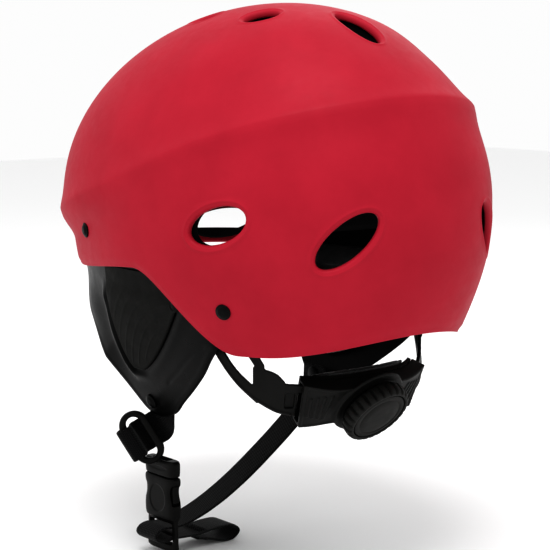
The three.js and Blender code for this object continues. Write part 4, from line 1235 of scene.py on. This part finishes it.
def buckle_socket():
    """The other half: a waisted body with side windows, and the two webbing bars below it."""
    body = rounded_loft([(-115.3, 3.7, 13.4), (-116.0, 4.3, 14.0), (-117.8, 4.5, 14.2), (-119.6, 4.5, 13.9),
                         (-121.4, 4.45, 12.7), (-124, 4.45, 12.2), (-127, 4.5, 12.7), (-130.2, 4.5, 13.9),
                         (-133.5, 4.5, 14.2), (-138, 4.4, 14.1), (-140.2, 4.0, 13.5), (-141, 3.2, 12.8)])
    bars = rounded_loft([(-138.5, 3.6, 13.2), (-141.8, 2.3, 13.7), (-149, 1.8, 14.1), (-154.5, 1.9, 14.1),
                         (-156.6, 2.7, 14.0), (-158.8, 2.9, 13.6), (-160, 2.0, 12.6)], 3.4)
    obj = make("buckle_socket", *merge_solids([body, bars]), BUCKLE_BLACK, "strap_socket", ["buckle_female"])
    fuse(obj, 0.32, 4)
    cavity = rounded_loft([(-114, 2.8, 12.6), (-115.3, 2.8, 12.6), (-119.5, 2.8, 13.25), (-131.5, 2.8, 13.25),
                           (-136.5, 2.8, 12.6)], 9)
    windows = [rounded_slot(-131.5, -119.5, 2.9, 3.4, 5, STRAP_Y + side * 13.4) for side in (-1, 1)]
    slots = [rounded_slot(-148.2, -142.6, 8, 10.8), rounded_slot(-155.2, -150, 8, 10.8)]
    carve(obj, [cavity] + windows + slots + face_cutters(4.05, -128.5, 7.6, 8.2))
    fuse(obj, 0.3, 3, 0.5)


def buckle():
    buckle_plug()
    buckle_socket()
    for end in ("front", "rear"):
        softened_node(f"{end}_prong", f"{end}_prong_arm", f"{end}_latch", BUCKLE_BLACK, 0.22, 5, 0.5)


# ---------------------------------------------------------------- nape cradle
PLAN_STATIONS = [(-24, 76, 0), (0, 78, 0), (24, 76, 0), (44, 70.5, 0), (58, 62.5, 0), (68, 52, 0),
                 (74, 40, 0), (ANCHOR[0], ANCHOR[1], 0)]
PLAN_START = 24.1
PLAN, PLAN_LENGTH = curve_through(PLAN_STATIONS, 900)
PLAN_TANGENT = unit(np.gradient(PLAN, axis=0))


def cradle_point(s, v, d):
    """World point of cradle coordinates: s along the plan, v up the leaning face, d outward from it."""
    s, v, d = np.broadcast_arrays(np.asarray(s, float), np.asarray(v, float), np.asarray(d, float))
    at = np.clip((np.abs(s) + PLAN_START) / PLAN_LENGTH, 0, 1) * (len(PLAN) - 1)
    index = np.arange(len(PLAN))
    plan = np.stack([np.interp(at, index, PLAN[:, k]) for k in range(2)], -1)
    run = unit(np.stack([np.interp(at, index, PLAN_TANGENT[:, k]) for k in range(2)], -1))
    lean = CRADLE_LEAN * (1 - smooth(20, 66, np.abs(s)))
    across = np.stack([-run[..., 1], run[..., 0]], -1)
    up = np.concatenate([across * np.sin(lean)[..., None], np.cos(lean)[..., None]], -1)
    out = np.concatenate([across * np.cos(lean)[..., None], -np.sin(lean)[..., None]], -1)
    base = np.concatenate([plan, np.full(plan.shape[:-1] + (1,), CRADLE_CENTRE_Z)], -1)
    point = base + up * v[..., None] + out * d[..., None]
    point[..., 0] = np.where(s < 0, -point[..., 0], point[..., 0])
    return point


def bent_bar(s0, s1, low, high, d0, d1, step=1.6, rows=3):
    """A closed bar in cradle coordinates; low and high are numbers or [s, v] lists."""
    columns = max(int(abs(s1 - s0) / step), 2) + 1
    s = np.linspace(s0, s1, columns)
    bottom = np.full(columns, float(low)) if np.isscalar(low) else eased(low, s)
    top = np.full(columns, float(high)) if np.isscalar(high) else eased(high, s)
    v = lerp(bottom[:, None], top[:, None], np.linspace(0, 1, rows)[None])
    ss = np.repeat(s[:, None], rows, 1)
    return closed_sheet(cradle_point(ss, v, d1), cradle_point(ss, v, d0))


def dial_point(d):
    return cradle_point(0.0, DIAL_V, d)


def dial_direction():
    return unit(dial_point(1.0) - dial_point(0.0))


def cradle_arm(name, node, body, tongue_low, tongue_high, mirror):
    d0, d1 = 0.6, 2.8
    x, y, z = ANCHOR
    front_low = [(64, 1), (76, 13), (88, 30), (98.5, 47)]
    front_high = [(64, 9), (76, 21), (88, 40), (98.5, 60)]
    rear_low = [(60, 12), (68, 26), (84, 43), (98.5, 50)]
    rear_high = [(60, 22), (68, 35), (84, 51), (98.5, 59)]
    plate_low = [(43, -7), (54, -4), (66, 3)]
    plate_high = [(43, 12), (48.5, 12.3), (53, 17), (66, 21)]
    hole = (44.4, 49.6, -1.6, 7.2)
    solids = [
        bent_bar(10, 47, tongue_low, tongue_high, d0, d1),
        bent_bar(43, hole[0], -7, 12, d0, d1),
        bent_bar(hole[0] - 0.4, hole[1] + 0.4, [(43, -7), (54, -4)], hole[2], d0, d1, 0.8),
        bent_bar(hole[0] - 0.4, hole[1] + 0.4, hole[3], [(43, 12), (48.5, 12.3)], d0, d1, 0.8),
        bent_bar(hole[0] - 0.6, hole[1] + 0.6, hole[2] - 0.6, hole[3] + 0.6, d0, d0 + 0.7, 0.8),
        bent_bar(hole[1], 66, plate_low, plate_high, d0, d1),
        bent_bar(64, 98.5, front_low, front_high, d0, d1),
        bent_bar(60, 98.5, rear_low, rear_high, d0, d1),
        rod([x, y, z - 4.6], [x, y, z + 4.6], 3.2, 32),
    ]
    # A raised bead along one edge of each leg and of the plate stiffens the moulding.
    beads = ((plate_low, 46, 66, 0.4), (front_low, 65, 93, 0.6), (rear_high, 62, 93, -1.8))
    for low, start, end, lift in beads:
        lower = [(s, v + lift) for s, v in low]
        solids.append(bent_bar(start, end, lower, [(s, v + 1.3) for s, v in lower], d1 - 0.3, d1 + 0.7, 1.2))
    obj = make(name, *merge_solids(solids), CRADLE_BLACK, body, [node], mirror=mirror)
    fuse(obj, 0.42, 5, 0.35)


def housing_low(lift=0.0):
    """Lower edge of the housing, level in the middle and rising to both ends."""
    s, low, rise = HOUSING_S, HOUSING_LOW + lift, HOUSING_RISE
    return [(-s, low + rise), (-25, low), (25, low), (s, low + rise)]


def housing():
    s, high, d = HOUSING_S, HOUSING_HIGH, HOUSING_D
    solids = [
        bent_bar(-s, s, housing_low(), high, 5.2, d),
        bent_bar(-s, s, high - 1.8, high, -1.6, d),
        bent_bar(-s, s, housing_low(), housing_low(1.8), -1.6, d),
        rod(dial_point(d - 1), dial_point(d + 1.4), 17.5, 64),
        rod(dial_point(d - 1), dial_point(d + 0.8), 22.5, 72, 21.8),
    ]
    for side in (-1, 1):
        for k in range(4):
            at = side * (27 + 3.6 * k)
            solids.append(bent_bar(at - 0.8, at + 0.8, -8 + k, 10.5 - k, d - 0.4, d + 0.8, 0.6))
        low = HOUSING_LOW + HOUSING_RISE
        solids.append(bent_bar(side * (s - 1.8), side * s, low, high, 4.6, d + 0.6, 0.6))
    solids.append(bent_bar(-s + 1, s - 1, high - 1.4, high - 0.2, d - 0.3, d + 0.6))
    solids.append(bent_bar(-s + 1, s - 1, housing_low(0.2), housing_low(1.4), d - 0.3, d + 0.6))
    obj = make("housing_body", *merge_solids(solids), CRADLE_BLACK, "nape_cradle", ["dial_housing"])
    fuse(obj, 0.45, 5, 0.35)


def nape_cushion():
    """The pad behind the nape, crowned, with two sewn channels and a thin welt."""
    s = -35 * np.cos(np.linspace(0, math.pi, 90))
    r = -np.cos(np.linspace(0, math.pi, 30))
    ss, w = np.meshgrid(s, r, indexing="ij")
    u = ss / 35
    v = lerp(eased(housing_low(), ss), HOUSING_HIGH, (w * (1 - 0.12 * u ** 8) + 1) / 2)
    edge = np.clip((np.abs(u) ** 8 + np.abs(w) ** 5) ** (1 / 6), 0, 1)
    crown = np.clip(1 - edge ** 4, 0, 1) ** 0.5
    valley = sum(np.exp(-(((ss - c) / 1.1) ** 2)) for c in (-12, 12))
    front = cradle_point(ss * (1 - 0.04 * w ** 6), v, -6.4 - 3.5 * crown * (1 - 0.5 * valley)
                         - 0.15 * np.sin(ss * 0.7) * np.cos(w * 5) * crown)
    back = cradle_point(ss * (1 - 0.04 * w ** 6), v, -5.4 + 0.0 * v)
    obj = make("nape_cushion", *closed_sheet(front, back), PAD_KNIT, "nape_cradle", ["nape_pad"])
    soft_piece(obj, (crown < 0.35) | (valley > 0.6), 0.6)


def knob():
    """The dial's grip: a ring of scalloped lobes with a rounded shoulder and a sunken face."""
    lobes, per = 26, 12
    sides = lobes * per
    profile = [(14.5, 9.6, 0), (18.4, 9.6, 0), (19.3, 10.2, 0.7), (19.9, 11.2, 1), (20, 13, 1), (20, 15.4, 1),
               (19.7, 16.8, 1), (19.2, 17.7, 0.8), (18.5, 18.3, 0.4), (17.7, 18.5, 0), (17.0, 18.4, 0),
               (16.7, 18.0, 0), (16.6, 16.0, 0), (16.6, 15.2, 0), (3.0, 15.2, 0), (3.0, 10.4, 0),
               (14.5, 10.4, 0)]
    origin, axis = dial_point(0.0), dial_direction()
    u = np.array([1.0, 0, 0])
    v = np.cross(axis, u)
    verts = []
    for radius, height, grip in profile:
        for k in range(sides):
            a = 2 * math.pi * k / sides
            phase = (k % per) / per * 2 * math.pi
            notch = max(math.cos(phase), 0) ** 1.6
            r = radius - 1.35 * grip * notch
            verts.append(origin + axis * height + (u * math.cos(a) + v * math.sin(a)) * r)
    faces = tube_faces(len(profile), sides, loop=True)
    make("knob_grip", verts, faces, DIAL_BLACK, "dial", ["dial_knob"], smooth_angle=55)
    cap = [(0, 15.9), (16.1, 15.9), (16.2, 17.6)] + arc(15.7, 17.6, 0.5, 0, 80, 4)
    cap += [(13.6, 18.35), (13.2, 18.05), (12.6, 18.05), (12.2, 18.4), (8, 18.62), (4, 18.72), (0, 18.75)]
    verts, faces = turned(origin, axis, cap, 96)
    make("knob_cap", verts, faces, DIAL_BLACK, "dial", ["dial_cap"], smooth_angle=50)


CARRIED = {
    RIVET_BLACK: ["left_front_washer", "right_front_washer", "left_rear_washer", "right_rear_washer",
                  "dial_screw"],
    CRADLE_BLACK: ["left_cradle_pivot", "right_cradle_pivot", "housing_cover", "detent_ring", "dial_pinion"],
}


def carried_over():
    """CAD nodes whose shape is right keep it, with softened edges and the new materials."""
    for material, nodes in CARRIED.items():
        for node in nodes:
            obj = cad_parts[node]
            for slot_index in range(len(obj.material_slots)):
                obj.material_slots[slot_index].material = material
            bevel = obj.modifiers.new("edge", "BEVEL")
            bevel.width = 0.25 * MM
            bevel.segments = 2
            bevel.limit_method = "ANGLE"
            bevel.angle_limit = math.radians(50)


outer_shell()
foam_liner()
quilted_pad("brow_cushion", "brow_pad", 148, 212, 36, 56, 120, 30, (-0.5, 0, 0.5))
quilted_pad("rear_cushion", "rear_pad", -12, 12, 60, 92, 50, 40, (-0.33, 0.33))
for side_name in ("left", "right"):
    quilted_pad(f"{side_name}_temple_cushion", f"{side_name}_temple_pad", 72, 112, 42, 76, 70, 40,
                (-0.33, 0.33), mirror=side_name == "right")
crown_pad()
shell_rivets()
ear_assembly()
cradle_studs()
strap_rivets()
straps()
buckle()
cradle_arm("left_arm_moulding", "left_cradle_arm", "left_arm", 7.6, 12.4, False)
cradle_arm("right_arm_moulding", "right_cradle_arm", "right_arm", -9.6, -4.6, True)
housing()
nape_cushion()
knob()
carried_over()

# ---------------------------------------------------------------- camera, light, floor
def camera_and_light():
    target = Vector((-0.0049, -0.00185, -0.0001))
    azimuth, elevation, distance = math.radians(40), math.radians(8), 0.95
    away_from = Vector((math.sin(azimuth) * math.cos(elevation), math.cos(azimuth) * math.cos(elevation),
                        math.sin(elevation)))
    data = bpy.data.cameras.new("camera")
    data.sensor_width = 36
    data.lens = 105.5
    camera = place("camera", data)
    camera.location = target + away_from * distance
    camera.rotation_euler = (target - camera.location).to_track_quat("-Z", "Y").to_euler()
    bpy.context.scene.camera = camera
    for name, where, size, power in LIGHTS:
        light = bpy.data.lights.new(name, "AREA")
        light.shape = "DISK"
        light.size = size
        light.energy = power
        lamp = place(name, light)
        lamp.location = where
        lamp.rotation_euler = (target - Vector(where)).to_track_quat("-Z", "Y").to_euler()
    world = bpy.data.worlds.new("studio")
    world.use_nodes = True
    set_sockets(world.node_tree.nodes["Background"], {"Color": (1, 1, 1, 1), "Strength": 0.685})
    bpy.context.scene.world = world
    bpy.context.scene.view_settings.view_transform = "Standard"
    bpy.context.scene.view_settings.look = "High Contrast"


LIGHTS = [
    ("key", (0.45, 0.45, 1.55), 0.8, 12.0),
    ("fill", (1.3, -0.4, 0.7), 0.9, 1.0),
    ("back", (-1.0, -0.6, 0.9), 0.9, 1.5),
]


def floor():
    mesh = bpy.data.meshes.new("floor")
    half, z = 3.0, (cad_box[0][2] - 0.0005)
    corners = [(-half, -half, z), (half, -half, z), (half, half, z), (-half, half, z)]
    mesh.from_pydata(corners, [], [(0, 1, 2, 3)])
    plane = place("floor", mesh)
    material, _, _, shader = new_material("floor_pale")
    set_sockets(shader, {"Base Color": (0.9, 0.9, 0.9, 1), "Roughness": 0.8})
    plane.data.materials.append(material)


inflate_pads()
camera_and_light()
floor()
